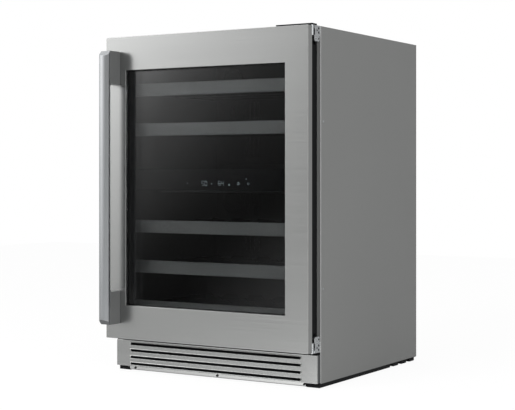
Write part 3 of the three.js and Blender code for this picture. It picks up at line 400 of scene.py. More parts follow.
def soften(piece, width, segments=2, angle=30):
    """Rounds every edge sharper than an angle."""
    limits = {"limit_method": "ANGLE", "angle_limit": math.radians(angle), "use_clamp_overlap": True}
    modify(piece, "BEVEL", width=width, segments=segments, **limits)


def cut_out(piece, cutter):
    """Takes a cutter's shape out of a piece and removes the cutter."""
    modify(piece, "BOOLEAN", object=cutter, operation="DIFFERENCE", solver="EXACT")
    bpy.data.objects.remove(cutter, do_unlink=True)


def wall(piece, thickness):
    """Gives an open skin its wall, inwards."""
    with shaping(piece):
        bpy.ops.mesh.normals_make_consistent(inside=False)
    modify(piece, "SOLIDIFY", thickness=thickness, offset=-1.0, use_even_offset=True)


def settle(piece):
    """Puts a piece's place into its mesh."""
    take(piece)
    bpy.ops.object.transform_apply(location=True, rotation=True, scale=True)
    return piece


def added(name):
    """Names the piece that was added last and puts its place into its mesh."""
    piece = bpy.context.object
    piece.name = name
    return settle(piece)


def block(name, low, high):
    """A box from its lowest to its highest corner."""
    low, high = Vector(low), Vector(high)
    bpy.ops.object.select_all(action="DESELECT")
    bpy.ops.mesh.primitive_cube_add(size=1, location=(low + high) / 2, scale=high - low)
    return added(name)


def rounded_block(name, low, high, edge):
    """A box with rounded edges."""
    piece = block(name, low, high)
    soften(piece, edge)
    return piece


def ring(name, low, high, width):
    """A flat rectangular ring in the XZ plane, of the given width."""
    piece = block(name, low, high)
    with shaping(piece, faces=[FRONT, BACK]):
        bpy.ops.mesh.inset(thickness=width, use_individual=True)
        bpy.ops.mesh.bridge_edge_loops()
    return piece


def rod(name, start, end, radius, sides=32):
    """A cylinder between two points."""
    start, end = Vector(start), Vector(end)
    turn = (end - start).to_track_quat("Z", "Y").to_euler()
    bpy.ops.object.select_all(action="DESELECT")
    bpy.ops.mesh.primitive_cylinder_add(
        vertices=sides, radius=radius, depth=(end - start).length, location=(start + end) / 2, rotation=turn
    )
    return added(name)


def stud(name, start, rise, radius, socket):
    """A round head that rises from its start, with a rounded rim and a round socket of the given radius."""
    head = rod(name, start, start + rise, radius, sides=24)
    out = rise.normalized()
    with shaping(head, faces=[out]):
        bpy.ops.mesh.inset(thickness=radius - socket)
        extrude(*(-0.5 * MM * out))
    soften(head, radius * 0.15, angle=50)
    return head


def copy_of_node(name, node_name):
    """A free copy of a CAD node's mesh, with its loose triangles merged and its flat faces made whole."""
    source = NODES[node_name]
    piece = bpy.data.objects.new(name, source.data.copy())
    bpy.context.scene.collection.objects.link(piece)
    with shaping(piece):
        bpy.ops.mesh.remove_doubles(threshold=0.01 * MM)
        bpy.ops.mesh.dissolve_limited(angle_limit=math.radians(1.0))
    return piece


def together(name, pieces):
    """Joins pieces into one object."""
    bpy.ops.object.select_all(action="DESELECT")
    for piece in pieces:
        piece.select_set(True)
    bpy.context.view_layer.objects.active = pieces[0]
    bpy.ops.object.join()
    joined = bpy.context.view_layer.objects.active
    joined.name = name
    return joined


def another(name, piece, move):
    """A copy with a mesh of its own, moved."""
    take(piece)
    bpy.ops.object.duplicate()
    bpy.ops.transform.translate(value=move)
    return added(name)


def hand_over(piece, body, material_name, stands_for=(), angle=35):
    """Finishes a piece: smooth shading, material, the body it rides on, the nodes it stands for."""
    settle(piece)
    bpy.ops.object.shade_smooth_by_angle(angle=math.radians(angle))
    modify(piece, "WEIGHTED_NORMAL", mode="FACE_AREA", keep_sharp=True)
    piece.data.materials.clear()
    piece.data.materials.append(finish(material_name))
    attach(piece, body)
    if stands_for:
        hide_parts(*stands_for)


def refine(name, node_name, edge, body, material_name, segments=2):
    """Hands over a copy of a CAD node with rounded edges, in place of the node."""
    piece = copy_of_node(name, node_name)
    soften(piece, edge, segments)
    hand_over(piece, body, material_name, [node_name])


# ---------------------------------------------------------------- cabinet

# Places of small fittings in mm: X from the middle, Y from the cabinet's centre, Z from the floor.
SIDE_PLUGS_Y, SIDE_PLUGS_Z = -202.5, (237, 638)
BACK_SCREWS_X, BACK_SCREWS_Z = (-282.2, 0, 282.2), (26, 430, 850)
LIP_CLIPS_X = (-243, 10, 258)
# The kick plate's air slots: how many, and in mm from its top to the first one and from one to the next.
SLOT_COUNT, FIRST_SLOT, SLOT_PITCH = 4, 13.6, 17.2


class WINECOOLER_OT_cabinet(Operator):
    """Outer shell with its plugs, screws and hinge plate, and finishes of the insulation, liner and base"""

    bl_idname = "winecooler.cabinet"
    bl_label = "Cabinet Shell"

    def execute(self, context):
        low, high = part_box("cabinet_wrap")
        shell = copy_of_node("outer_shell", "cabinet_wrap")

        def on_front_edge(*ends):
            """Both ends are on an outer corner at the front."""
            return all(abs(abs(end.x) - high.x) < NEAR and abs(end.y - low.y) < NEAR for end in ends)

        with shaping(shell, edges=on_front_edge):
            bpy.ops.mesh.bevel(offset=settings("fittings").shell_edge, segments=3, affect="EDGES")
        hand_over(shell, "cabinet", "painted", ["cabinet_wrap"])
        plugs = []
        for side in (-1, 1):
            for z in SIDE_PLUGS_Z:
                start = Vector((side * (high.x - 1.6 * MM), SIDE_PLUGS_Y * MM, z * MM))
                rise = side * 1.5 * MM * RIGHT
                plugs.append(stud("plug", start, rise, radius=2.85 * MM, socket=1.1 * MM))
        hand_over(together("side_plugs", plugs), "cabinet", "zinc")
        screws = []
        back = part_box("back_panel")[1].y
        for x in BACK_SCREWS_X:
            for z in BACK_SCREWS_Z:
                start = Vector((x * MM, back - 3 * MM, z * MM))
                screws.append(stud("screw", start, 2.8 * MM * BACK, radius=3.3 * MM, socket=1.3 * MM))
        hand_over(together("back_screws", screws), "cabinet", "zinc")
        beads = []
        for side in (-1, 1):
            x, y = side * (high.x - 1.5 * MM), low.y + 1.4 * MM
            bead = rod("bead", (x, y, 14 * MM), (x, y, high.z - 0.3 * MM), radius=1.45 * MM, sides=24)
            soften(bead, 0.3 * MM, angle=60)
            beads.append(bead)
        hand_over(together("shell_beads", beads), "cabinet", "brushed")
        plate_low, plate_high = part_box("top_hinge_plate")
        plate = copy_of_node("top_plate", "top_hinge_plate")
        corner_width, corner_front = 21 * MM, 24 * MM
        corner = (plate_high.x - corner_width, plate_low.y + corner_front, plate_low.z - MM)
        cut_out(plate, block("corner", corner, plate_high + Vector((MM, MM, MM))))
        soften(plate, 0.5 * MM)
        hand_over(plate, "cabinet", "black_steel", ["top_hinge_plate"])
        dress("painted", "back_panel")
        dress("foam", "foam_insulation")
        dress("liner", "inner_liner")
        dress("black_steel", "lower_front_rail", "base_frame")
        dress("black_steel", *[name for name in NODES if name.startswith("foot_")])
        return {"FINISHED"}


class WINECOOLER_OT_kick_plate(Operator):
    """Kick plate with its air slots and set-back lip, end caps whose dark grey is partly painted shade, and a
    black top strip that is painted shade of the door
    """

    bl_idname = "winecooler.kick_plate"
    bl_label = "Kick Plate"

    def execute(self, context):
        fittings = settings("fittings")
        low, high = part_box("kick_grille")
        shade_strip_height, fold, slot_margin, rim_width = 4.8 * MM, 3.2 * MM, 45 * MM, 2 * MM
        lip_margin, lip_setback = 36.3 * MM, 6 * MM
        bottom = low.z + fittings.toe_lip
        # The plate stops short of its top to leave room for a black strip, which is painted shade: the shadow
        # the door casts on the plate's top.
        top = high.z - shade_strip_height
        sheet = fittings.kick_sheet
        plate = block("kick_plate", (low.x, low.y, bottom), (high.x, low.y + fold, top))
        with shaping(plate, faces=[BACK, DOWN]):
            bpy.ops.mesh.delete(type="ONLY_FACE")
        wall(plate, sheet)
        reach = high.x - slot_margin
        half = fittings.slot_height / 2
        rims = []
        for slot in range(SLOT_COUNT):
            z = high.z - FIRST_SLOT * MM - slot * SLOT_PITCH * MM
            slot_low = (-reach, low.y - sheet, z - half)
            cut_out(plate, block("slot", slot_low, (reach, low.y + 2 * sheet, z + half)))
            rim_low = (-reach - rim_width, low.y - 1.3 * MM, z - half - rim_width)
            rim_high = (reach + rim_width, low.y + 4 * MM, z + half + rim_width)
            rim = ring("slot_rim", rim_low, rim_high, rim_width)
            soften(rim, 0.9 * MM)
            rims.append(rim)
        bead_low, bead_high = (low.x, low.y - 0.8 * MM, top - sheet), (high.x, low.y + sheet, top)
        top_bead = rounded_block("top_bead", bead_low, bead_high, 0.5 * MM)
        soften(plate, 0.5 * MM)
        plate = together("kick_plate", [plate, top_bead, *rims])
        hand_over(plate, "cabinet", "brushed", ["kick_grille"])
        lip_low = (low.x + lip_margin, low.y + lip_setback, low.z)
        lip = block("toe_lip", lip_low, (-lip_low[0], low.y + lip_setback + sheet, bottom + sheet))
        with shaping(lip, faces=[DOWN]):
            bpy.ops.transform.translate(value=(0, 3 * MM, 0))
        soften(lip, 0.4 * MM)
        hand_over(lip, "cabinet", "brushed")
        # Dark grey end caps at both ends: partly painted shade, their grey standing for the shade on the kick
        # plate's side returns.
        shade_caps = []
        for side in (-1, 1):
            x0, x1 = sorted([side * (high.x - 9 * MM), side * (high.x - 0.4 * MM)])
            cap_low, cap_high = (x0, low.y + 2.8 * MM, bottom), (x1, high.y - 0.1 * MM, top - 0.2 * MM)
            shade_caps.append(rounded_block("end_cap", cap_low, cap_high, 0.8 * MM))
        hand_over(together("kick_end_caps_and_shade", shade_caps), "cabinet", "grey_plastic")
        # A black rubber strip along the plate's top: painted shade, standing for the door's shadow there.
        shade_strip_low = (low.x + MM, low.y + 1.5 * MM, top - 0.6 * MM)
        shade_strip = rounded_block("kick_top_shade_strip", shade_strip_low, (high.x - MM, high.y - MM, high.z), 0.7 * MM)
        hand_over(shade_strip, "cabinet", "rubber")
        backing_low = (low.x + 10 * MM, high.y - 5 * MM, bottom)
        backing = rounded_block("slot_backing", backing_low, (high.x - 10 * MM, high.y, top - 2 * sheet), MM)
        hand_over(backing, "cabinet", "black_steel")
        clips = []
        for x in LIP_CLIPS_X:
            start = Vector((x * MM, low.y + 8 * MM, low.z + 4.5 * MM))
            clips.append(stud("clip", start, 2.6 * MM * FRONT, radius=2.8 * MM, socket=1.0 * MM))
        hand_over(together("toe_lip_clips", clips), "cabinet", "black_plastic")
        return {"FINISHED"}


# ---------------------------------------------------------------- door


def window_corners():
    """Lowest and highest x and z of the opening in the door's skin."""
    low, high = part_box("outer_glass")
    overlap = settings("fittings").glass_overlap
    return low.x + overlap, high.x - overlap, low.z + overlap, high.z - overlap


class WINECOOLER_OT_door_skin(Operator):
    """Folded stainless skin of the door, with the returns round its rim and its window"""

    bl_idname = "winecooler.door_skin"
    bl_label = "Door Skin"

    def execute(self, context):
        fittings = settings("fittings")
        low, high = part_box("door_frame")
        left, _, bottom, top = window_corners()
        skin = block("door_skin", low, high)
        with shaping(skin, faces=[BACK]):
            bpy.ops.mesh.delete(type="ONLY_FACE")
        margin = left - low.x
        with shaping(skin, faces=[FRONT]):
            bpy.ops.mesh.inset(thickness=margin)
            stretch = (top - bottom) / (high.z - low.z - 2 * margin)
            bpy.ops.transform.resize(value=(1, 1, stretch))
            extrude(0, fittings.window_return, 0)
            bpy.ops.mesh.delete(type="ONLY_FACE")
        wall(skin, fittings.skin_sheet)
        soften(skin, fittings.skin_edge, segments=3)
        hand_over(skin, "door", "brushed", ["door_frame"])
        return {"FINISHED"}


class WINECOOLER_OT_door_inside(Operator):
    """Core, glass unit and gasket of the door"""

    bl_idname = "winecooler.door_inside"
    bl_label = "Door Core and Glass"

    def execute(self, context):
        fittings = settings("fittings")
        dress("black_plastic", "door_inner_frame", "glass_spacer")
        dress("glass", "outer_glass", "inner_glass")
        left, right, bottom, top = window_corners()
        sheet, width = fittings.skin_sheet, fittings.seal_and_shade_width
        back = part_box("door_frame")[0].y + fittings.window_return
        low, high = (left + sheet, back - width, bottom + sheet), (right - sheet, back, top - sheet)
        # A black seal round the glass, partly painted shade: besides the glazing seal itself, it stands for
        # the shade under the window's steel return.
        shade_strip = ring("glazing_seal_and_shade", low, high, width)
        soften(shade_strip, width / 4)
        hand_over(shade_strip, "door", "rubber")
        refine("magnetic_gasket", "door_gasket", 1.0 * MM, "door", "rubber")
        return {"FINISHED"}


class WINECOOLER_OT_handle(Operator):
    """Crowned handle bar and its two posts"""

    bl_idname = "winecooler.handle"
    bl_label = "Handle"

    def execute(self, context):
        fittings = settings("fittings")
        low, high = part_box("handle_bar")
        half = (high.x - low.x) / 2
        crown = fittings.handle_crown
        radius = (half * half + crown * crown) / (2 * crown)
        centre = Vector(((low.x + high.x) / 2, low.y + radius, (low.z + high.z) / 2))
        rise = Vector((0, 0, (high.z - low.z) / 2))
        bar = rod("handle_grip", centre - rise, centre + rise, radius, sides=192)
        slope = math.atan2(fittings.handle_slope, high.y - low.y)
        cuts = [
            ((low.x, 0, 0), LEFT),
            ((high.x, 0, 0), RIGHT),
            ((0, high.y, 0), BACK),
            ((0, high.y, low.z), (0, -math.sin(slope), -math.cos(slope))),
            ((0, high.y, high.z), (0, -math.sin(slope), math.cos(slope))),
        ]
        for point, normal in cuts:
            with shaping(bar):
                bpy.ops.mesh.bisect(plane_co=point, plane_no=normal, use_fill=True, clear_outer=True)
        soften(bar, fittings.handle_edge, segments=3)
        hand_over(bar, "door", "handle", ["handle_bar"], angle=25)
        for end in ("lower", "upper"):
            post = f"handle_post_{end}"
            refine(f"{post}_finished", post, 1.6 * MM, "door", "satin", segments=3)
        return {"FINISHED"}


# Holes of a hinge bracket in mm: place along Y, distance in from the hinge's outer end, and radius.
BRACKET_HOLES = (
    (-224.4, 6.6, 3.0),
    (-232.5, 11.8, 2.6),
    (-224.0, 16.6, 3.0),
    (-238.2, 30.4, 2.7),
    (-224.4, 31.2, 2.4),
)
# Where the flange of a hinge leaf begins and ends along Y in mm, and where its cap ends.
FLANGE_FRONT, FLANGE_BACK, CAP_BACK = -258.0, -250.0, -244.8
# Heights of a bracket's head, step and tail in mm, from its outer end in, and how far forward it steps.
BRACKET_HEAD, BRACKET_STEP, BRACKET_TAIL, STEP_FORWARD = 22, 3, 13, 3.5


class WINECOOLER_OT_hinges(Operator):
    """Zinc plated hinge brackets and leaves, with their screws and flanges"""

    bl_idname = "winecooler.hinges"
    bl_label = "Hinges"

    def execute(self, context):
        for end, away in (("upper", 1), ("lower", -1)):
            low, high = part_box(f"hinge_bracket_{end}")
            outer = (high.z + 2.2 * MM) if away > 0 else (low.z - 2.2 * MM)
            face = high.x - 0.6 * MM

            def inwards(distance):
                """A height on the hinge, so many mm in from its outer end."""
                return outer - away * distance * MM

            z0, z1 = sorted([inwards(0), inwards(BRACKET_HEAD)])
            plate = block(f"hinge_bracket_{end}_finished", (low.x, low.y, z0), (face, high.y, z1))
            with shaping(plate, faces=[away * DOWN]):
                extrude(0, -STEP_FORWARD * MM, -away * BRACKET_STEP * MM)
                extrude(0, 0, -away * BRACKET_TAIL * MM)
            tip = inwards(BRACKET_HEAD + BRACKET_STEP + BRACKET_TAIL)

            def on_tip(a, b):
                """The edge runs through the sheet at a corner of the tail."""
                return max(abs(a.z - tip), abs(b.z - tip), abs(a.y - b.y)) < NEAR

            with shaping(plate, edges=on_tip):
                bpy.ops.mesh.bevel(offset=5 * MM, segments=6, affect="EDGES")
            screws = []
            for y, distance, radius in BRACKET_HOLES:
                centre = Vector((face, y * MM, inwards(distance)))
                cut_out(plate, rod("hole", centre + 2 * MM * LEFT, centre + MM * RIGHT, radius * MM))
                seat, rise = centre + 1.8 * MM * LEFT, 1.5 * MM * RIGHT
                screws.append(stud("screw", seat, rise, radius=radius * 0.97 * MM, socket=1.0 * MM))
            soften(plate, 0.4 * MM, angle=50)
            hand_over(plate, "cabinet", "zinc", [f"hinge_bracket_{end}"])
            hand_over(together(f"hinge_screws_{end}", screws), "cabinet", "black_steel")
            leaf = f"hinge_leaf_{end}"
            refine(f"{leaf}_finished", leaf, 0.5 * MM, "door", "zinc")
            edge = high.x + 0.2 * MM
            z0, z1 = sorted([inwards(0.2), inwards(25)])
            flange_low = (edge - 3.5 * MM, FLANGE_FRONT * MM, z0)
            flange = block("flange", flange_low, (edge, FLANGE_BACK * MM, z1))

            def on_outer_corner(a, b):
                """The edge is the flange's outer corner at the front."""
                return min(a.x, b.x) > edge - NEAR and max(a.y, b.y) < FLANGE_FRONT * MM + NEAR

            with shaping(flange, edges=on_outer_corner):
                bpy.ops.mesh.bevel(offset=3.2 * MM, segments=3, affect="EDGES")
            z0, z1 = sorted([inwards(0.1), inwards(1.8)])
            cap_low = (edge - 3 * MM, (FLANGE_BACK - 0.4) * MM, z0)
            cap = rounded_block("cap", cap_low, (edge - 0.3 * MM, CAP_BACK * MM, z1), 0.5 * MM)
            hand_over(together(f"hinge_flange_{end}", [flange, cap]), "door", "zinc")
        return {"FINISHED"}


# ---------------------------------------------------------------- racks and inside


class WINECOOLER_OT_racks(Operator):
    """Folded stainless rack fronts on black coated frames"""

    bl_idname = "winecooler.racks"
    bl_label = "Racks"

    def execute(self, context):
        fittings = settings("fittings")
        fronts = sorted(name for name in NODES if name.startswith("rack_") and name.endswith("_front"))
        low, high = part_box("rack_1_front")
        front = block("rack_front_1", low, high)
        with shaping(front, faces=[BACK, LEFT, RIGHT]):
            bpy.ops.mesh.delete(type="ONLY_FACE")
        wall(front, fittings.rack_sheet)
        soften(front, fittings.rack_edge / 2, segments=3)
        for node_name in fronts:
            number = node_name.split("_")[1]
            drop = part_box(f"rack_{number}_front")[0] - low
            piece = front if number == "1" else another(f"rack_front_{number}", front, drop)
            hand_over(piece, f"rack_{number}", "satin", [node_name])
            dress("black_steel", f"rack_{number}_frame")
        dress("zinc", *[name for name in NODES if "_runner_" in name])
        return {"FINISHED"}


class WINECOOLER_OT_inside(Operator):
    """Divider, duct covers, filter caps and light strips"""

    bl_idname = "winecooler.inside"
    bl_label = "Cavity Fittings"

    def execute(self, context):
        dress("liner", "zone_divider", "upper_duct_cover", "lower_duct_cover")
        dress("fascia", "control_fascia")
        dress("light_cover", "upper_light_strip", "lower_light_strip")
        rings = settings("fittings").cap_rings
        for zone in ("upper", "lower"):
            low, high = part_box(f"{zone}_filter_cap")
            radius = (high.x - low.x) / 2
            x, z = (low.x + high.x) / 2, (low.z + high.z) / 2
            cap = rod(f"{zone}_filter_lid", (x, high.y, z), (x, low.y, z), radius, sides=64)
            step = radius / (2 * rings + 1)
            with shaping(cap, faces=[FRONT]):
                for depth in (1.5 * MM, -1.5 * MM) * rings:
                    bpy.ops.mesh.inset(thickness=step)
                    extrude(0, depth, 0)
            soften(cap, 0.4 * MM, angle=40)
            hand_over(cap, "cabinet", "black_plastic", [f"{zone}_filter_cap"])
        return {"FINISHED"}


# The seven strokes of a digit: column and row of their middles, in halves of a digit, and whether they stand.
STROKES = {
    "top": (0, 1.0, False),
    "upper_left": (-1, 0.5, True),
    "upper_right": (1, 0.5, True),
    "middle": (0, 0.0, False),
    "lower_left": (-1, -0.5, True),
    "lower_right": (1, -0.5, True),
    "bottom": (0, -1.0, False),
}
DIGITS = {
    "0": ["top", "upper_left", "upper_right", "lower_left", "lower_right", "bottom"],
    "4": ["upper_left", "upper_right", "middle", "lower_right"],
    "5": ["top", "upper_left", "middle", "lower_right", "bottom"],
    "6": ["top", "upper_left", "middle", "lower_left", "lower_right", "bottom"],
}
# The two temperatures, each with the middle of its first digit in mm right of the cooler's middle.
TEMPERATURES = ((-40.5, "50"), (9.0, "64"))
# Marks beside them: X, height above the digits' middle and radius in mm, sides, and outline's width in mm.
LIT_MARKS = ((-14, -1, 1.3, 16, 0.9), (38, -3.5, 3.0, 3, 2.0), (88, 11, 0.9, 16, 0.6))
PRINTED_MARKS = ((65, -0.5, 3.4, 24, 0.8), (94, -0.5, 3.4, 6, 0.8), (-88, 0, 1.1, 16, 0.7))


class WINECOOLER_OT_display(Operator):
    """Lit temperatures and printed icons on the control fascia"""

    bl_idname = "winecooler.display"
    bl_label = "Display"

    def execute(self, context):
        height = settings("fittings").digit_height
        width, stroke, pitch = height * 0.6, height * 0.08, height * 0.82
        low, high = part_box("control_fascia")
        proud, deep, drop = 0.05 * MM, 0.25 * MM, 9 * MM
        y = low.y - proud
        z = (low.z + high.z) / 2 - drop
        bars = []
        for x, number in TEMPERATURES:
            for place_in_number, digit in enumerate(number):
                middle = x * MM + place_in_number * pitch
                for name in DIGITS[digit]:
                    column, row, stands = STROKES[name]
                    half_x = (stroke if stands else width - stroke) / 2
                    half_z = (height / 2 - stroke if stands else stroke) / 2
                    at_x = middle + column * width / 2
                    at_z = z + row * height / 2
                    bar_low = (at_x - half_x, y, at_z - half_z)
                    bar = block("bar", bar_low, (at_x + half_x, y + deep, at_z + half_z))
                    soften(bar, 0.1 * MM, segments=1)
                    bars.append(bar)
        hand_over(together("zone_temperatures", bars), "cabinet", "display")

        def mark(x, up, radius, sides, thickness):
            """A flat mark with so many sides, or its outline alone where that is thin beside its radius."""
            at = Vector((x * MM, y + deep, z + up * MM))
            icon = rod("mark", at, at + deep * FRONT, radius * MM, sides)
            with shaping(icon, faces=[FRONT, BACK]):
                bpy.ops.mesh.inset(thickness=thickness * MM)
                if thickness < radius * 0.6:
                    bpy.ops.mesh.delete(type="FACE")
            return icon

        for name, marks, material_name in (
            ("display_marks", LIT_MARKS, "display"),
            ("fascia_icons", PRINTED_MARKS, "icon"),
        ):
            hand_over(together(name, [mark(*row) for row in marks]), "cabinet", material_name)
        return {"FINISHED"}


class WINECOOLER_OT_machinery(Operator):
    """Evaporators, fans, compressor, condenser and drip tray"""

    bl_idname = "winecooler.machinery"
    bl_label = "Machinery"

    def execute(self, context):
        dress("aluminium", "upper_evaporator", "lower_evaporator", "condenser_coil")
        dress("black_plastic", "upper_fan_rotor", "lower_fan_rotor", "condenser_fan_rotor", "drip_tray")
        dress("black_steel", "compressor", "condenser_fan_shroud")
        return {"FINISHED"}


# ---------------------------------------------------------------- studio


def lamp(name, power, at, towards):
    """A soft square lamp, aimed at a point. Metal and glass don't mirror it."""
    at, towards = Vector(at), Vector(towards)
    turn = (towards - at).to_track_quat("-Z", "Y").to_euler()
    bpy.ops.object.light_add(type="AREA", location=at, rotation=turn)
    light = bpy.context.object
    light.name = name
    light.data.shape = "SQUARE"
    light.data.size = settings("studio").lamp_side
    light.data.energy = power
    light.visible_glossy = False


# The mirrored room. A soft box is its azimuth left of the front, its elevation, the degrees that are fully
# lit, the degrees where its light ends, and its strength. The steel has a bank of boxes at the upper left,
# which fades to the right across the door, and the glow of the floor ahead. The edge boxes light bevels that
# look sideways or up. The glass has a bright box far up at the left with fainter ones round it, and two faint
# ones at the lower right.
STEEL_ROOM = 0.4
STEEL_BOXES = [
    (20, -28, 0, 22, 1.4),
    (28, -28, 0, 22, 1.4),
    (44, 12, 0, 22, 0.8),
    (44, 26, 0, 22, 1.4),
    (54, 12, 0, 22, 1.4),
    (54, 26, 0, 22, 1.4),
    (66, 12, 0, 22, 1.4),
    (-5, -25, 6, 40, 0.75),
]
EDGE_BOXES = [
    (-80, 5, 10, 34, 2.0),
    (96, 55, 10, 36, 1.3),
]
GLASS_ROOM = 0.8
GLASS_BOXES = [
    (42, 4, 0, 14, 0.11),
    (16, -12, 0, 24, 0.06),
    (40, 20, 0, 24, 0.3),
    (50, 10, 0, 20, 1.0),
    (52, 20, 0, 24, 5.5),
    (25, -10, 0, 11, 0.28),
]
# Walls of another grey than the room's, given as the boxes are: an unlit one for the glass, and one behind
# the cooler with a level of its own.
DARK_WALL = (34, -6, 4, 40)
BACK_WALL = (207, 0, 20, 60)
BACK_LEVEL = 0.5


def heading(azimuth, elevation):
    """A direction, in degrees left of the front and above the floor."""
    turn, rise = math.radians(azimuth), math.radians(elevation)
    return (-math.sin(turn) * math.cos(rise), -math.cos(turn) * math.cos(rise), math.sin(rise))


def studio_world():
    """White for the camera, an even grey light on every surface, and a mirrored room. A perfectly sharp ray
    comes from glass, which has a room of its own, and a rough one from metal, paint or plastic."""
    world = bpy.data.worlds.new("studio")
    bpy.context.scene.world = world
    world.use_nodes = True
    tree = world.node_tree
    tree.nodes.clear()
    path = node(tree, "ShaderNodeLightPath")
    direction = node(tree, "ShaderNodeTexCoord").outputs["Generated"]

    def patch(azimuth, elevation, inner, outer):
        """1 within inner degrees of a direction, falling to 0 at outer degrees."""
        middle = {1: heading(azimuth, elevation)}
        towards = node(tree, "ShaderNodeVectorMath", middle, {0: direction}, operation="DOT_PRODUCT")
        edges = {"From Min": math.cos(math.radians(outer)), "From Max": math.cos(math.radians(inner))}
        cosine = {"Value": towards.outputs["Value"]}
        soft = node(tree, "ShaderNodeMapRange", edges, cosine, interpolation_type="SMOOTHSTEP")
        return soft.outputs["Result"]

    def level(share, first, second):
        """Mixes two grey levels, each a number or a socket, by the second one's share."""
        values, links = {}, {"Factor": share}
        for key, value in (("A", first), ("B", second)):
            (values if isinstance(value, float) else links)[key] = value
        return node(tree, "ShaderNodeMix", values, links, data_type="FLOAT").outputs["Result"]

    def with_boxes(mirrored, boxes):
        """A mirrored level with soft boxes added to it."""
        for azimuth, elevation, inner, outer, strength in boxes:
            box = patch(azimuth, elevation, inner, outer)
            links = {0: box, 2: mirrored}
            lit = node(tree, "ShaderNodeMath", {1: strength}, links, operation="MULTIPLY_ADD")
            mirrored = lit.outputs["Value"]
        return mirrored

    back = patch(*BACK_WALL)
    for_steel = with_boxes(level(back, STEEL_ROOM, BACK_LEVEL), STEEL_BOXES + EDGE_BOXES)
    for_glass = with_boxes(level(back, level(patch(*DARK_WALL), GLASS_ROOM, 0.0), BACK_LEVEL), GLASS_BOXES)
    mirrored = level(path.outputs["Is Singular Ray"], for_steel, for_glass)
    rays = {0: path.outputs["Is Glossy Ray"], 1: path.outputs["Is Transmission Ray"]}
    seen = node(tree, "ShaderNodeMath", links=rays, operation="MAXIMUM").outputs["Value"]
    lighting = level(seen, settings("studio").ambient, mirrored)
    strength = level(path.outputs["Is Camera Ray"], lighting, 1.0)
    background = node(tree, "ShaderNodeBackground", {"Color": (1, 1, 1, 1)}, {"Strength": strength})
    node(tree, "ShaderNodeOutputWorld", links={"Surface": background.outputs["Background"]})


# The share of plain white in what the camera sees of the floor, and how bright it is. The rest is the lit
# vinyl, which holds the cooler's shadow. Together they are white where no shadow falls.
FLOOR_SHARE, FLOOR_WHITE = 0.9, 1.04


def studio_floor():
    """A pale floor, white to the camera apart from the cooler's own soft shadow."""
    bpy.ops.object.select_all(action="DESELECT")
    bpy.ops.mesh.primitive_plane_add(size=settings("studio").floor_size, location=(0, 0, 0))
    floor = bpy.context.object
    floor.name = "studio_floor"
    material, tree = empty_material("white studio vinyl")
    place = node(tree, "ShaderNodeTexCoord").outputs["Object"]
    clouds = node(tree, "ShaderNodeTexNoise", {"Scale": 3.0, "Detail": 2.0}, {"Vector": place})
    tones = node(tree, "ShaderNodeValToRGB", links={"Fac": clouds.outputs["Fac"]})
    tones.color_ramp.elements[0].color = (0.80, 0.80, 0.80, 1)
    tones.color_ramp.elements[1].color = (0.83, 0.83, 0.83, 1)
    pale = node(tree, "ShaderNodeBsdfDiffuse", links={"Color": tones.outputs["Color"]})
    white = node(tree, "ShaderNodeEmission", {"Color": (1, 1, 1, 1), "Strength": FLOOR_WHITE})
    path = node(tree, "ShaderNodeLightPath")
    seen = path.outputs["Is Camera Ray"]
    for ray in ("Is Glossy Ray", "Is Transmission Ray"):
        either = node(tree, "ShaderNodeMath", links={0: seen, 1: path.outputs[ray]}, operation="MAXIMUM")
        seen = either.outputs["Value"]
    share = node(tree, "ShaderNodeMath", {1: FLOOR_SHARE}, {0: seen}, operation="MULTIPLY").outputs["Value"]
    both = {0: share, 1: pale.outputs["BSDF"], 2: white.outputs["Emission"]}
    mixed = node(tree, "ShaderNodeMixShader", links=both)
    node(tree, "ShaderNodeOutputMaterial", links={"Surface": mixed.outputs["Shader"]})
    floor.data.materials.append(material)
    floor.visible_glossy = False
    floor.visible_transmission = False


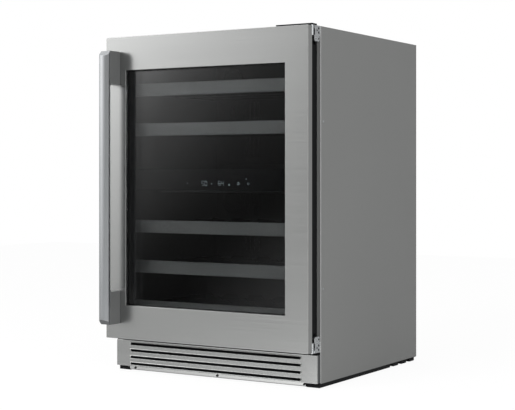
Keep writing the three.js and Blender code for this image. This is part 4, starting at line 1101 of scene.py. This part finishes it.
class WINECOOLER_OT_studio(Operator):
    """Floor, room light, lamps and camera"""

    bl_idname = "winecooler.studio"
    bl_label = "Studio"

    def execute(self, context):
        studio = settings("studio")
        level_turn = (math.radians(90), 0, studio.camera_turn)
        bpy.ops.object.camera_add(location=studio.camera_place, rotation=level_turn)
        camera = bpy.context.object
        camera.name = "studio_camera"
        camera.data.lens = studio.lens
        camera.data.sensor_width = 36.0
        camera.data.shift_y = studio.camera_shift
        camera.data.clip_end = 50.0
        context.scene.camera = camera
        context.scene.view_settings.view_transform = "Standard"
        studio_world()
        studio_floor()
        lamp("key_lamp", studio.lamp_power, at=(-0.7, -3.2, 2.0), towards=(0, 0, 0.5))
        lamp("fill_lamp", studio.fill_power, at=(2.6, -2.6, 1.3), towards=(0, 0, 0.45))
        return {"FINISHED"}


# ---------------------------------------------------------------- panel and registration

GROUPS = {"finishes": WineCoolerFinishes, "fittings": WineCoolerFittings, "studio": WineCoolerStudio}
STEPS = [
    WINECOOLER_OT_cabinet,
    WINECOOLER_OT_kick_plate,
    WINECOOLER_OT_door_skin,
    WINECOOLER_OT_door_inside,
    WINECOOLER_OT_handle,
    WINECOOLER_OT_hinges,
    WINECOOLER_OT_racks,
    WINECOOLER_OT_inside,
    WINECOOLER_OT_display,
    WINECOOLER_OT_machinery,
    WINECOOLER_OT_studio,
]


class WINECOOLER_PT_panel(Panel):
    """Lists the steps and settings of the wine cooler"""

    bl_idname = "WINECOOLER_PT_panel"
    bl_label = "Wine Cooler"
    bl_space_type = "VIEW_3D"
    bl_region_type = "UI"
    bl_category = "Wine Cooler"

    def draw(self, context):
        column = self.layout.column()
        for step in STEPS:
            column.operator(step.bl_idname)
        for kind in GROUPS:
            column.separator()
            group = settings(kind)
            for name in group.bl_rna.properties.keys():
                if name not in ("rna_type", "name"):
                    column.prop(group, name)


CLASSES = [*GROUPS.values(), *STEPS, WINECOOLER_PT_panel]


def register():
    for cls in CLASSES:
        bpy.utils.register_class(cls)
    for kind, group in GROUPS.items():
        setattr(bpy.types.Scene, "wine_cooler_" + kind, PointerProperty(type=group))


def unregister():
    for kind in GROUPS:
        delattr(bpy.types.Scene, "wine_cooler_" + kind)
    for cls in reversed(CLASSES):
        bpy.utils.unregister_class(cls)


def main():
    register()
    for step in STEPS:
        group, name = step.bl_idname.split(".")
        getattr(getattr(bpy.ops, group), name)()


if __name__ == "__main__":
    main()
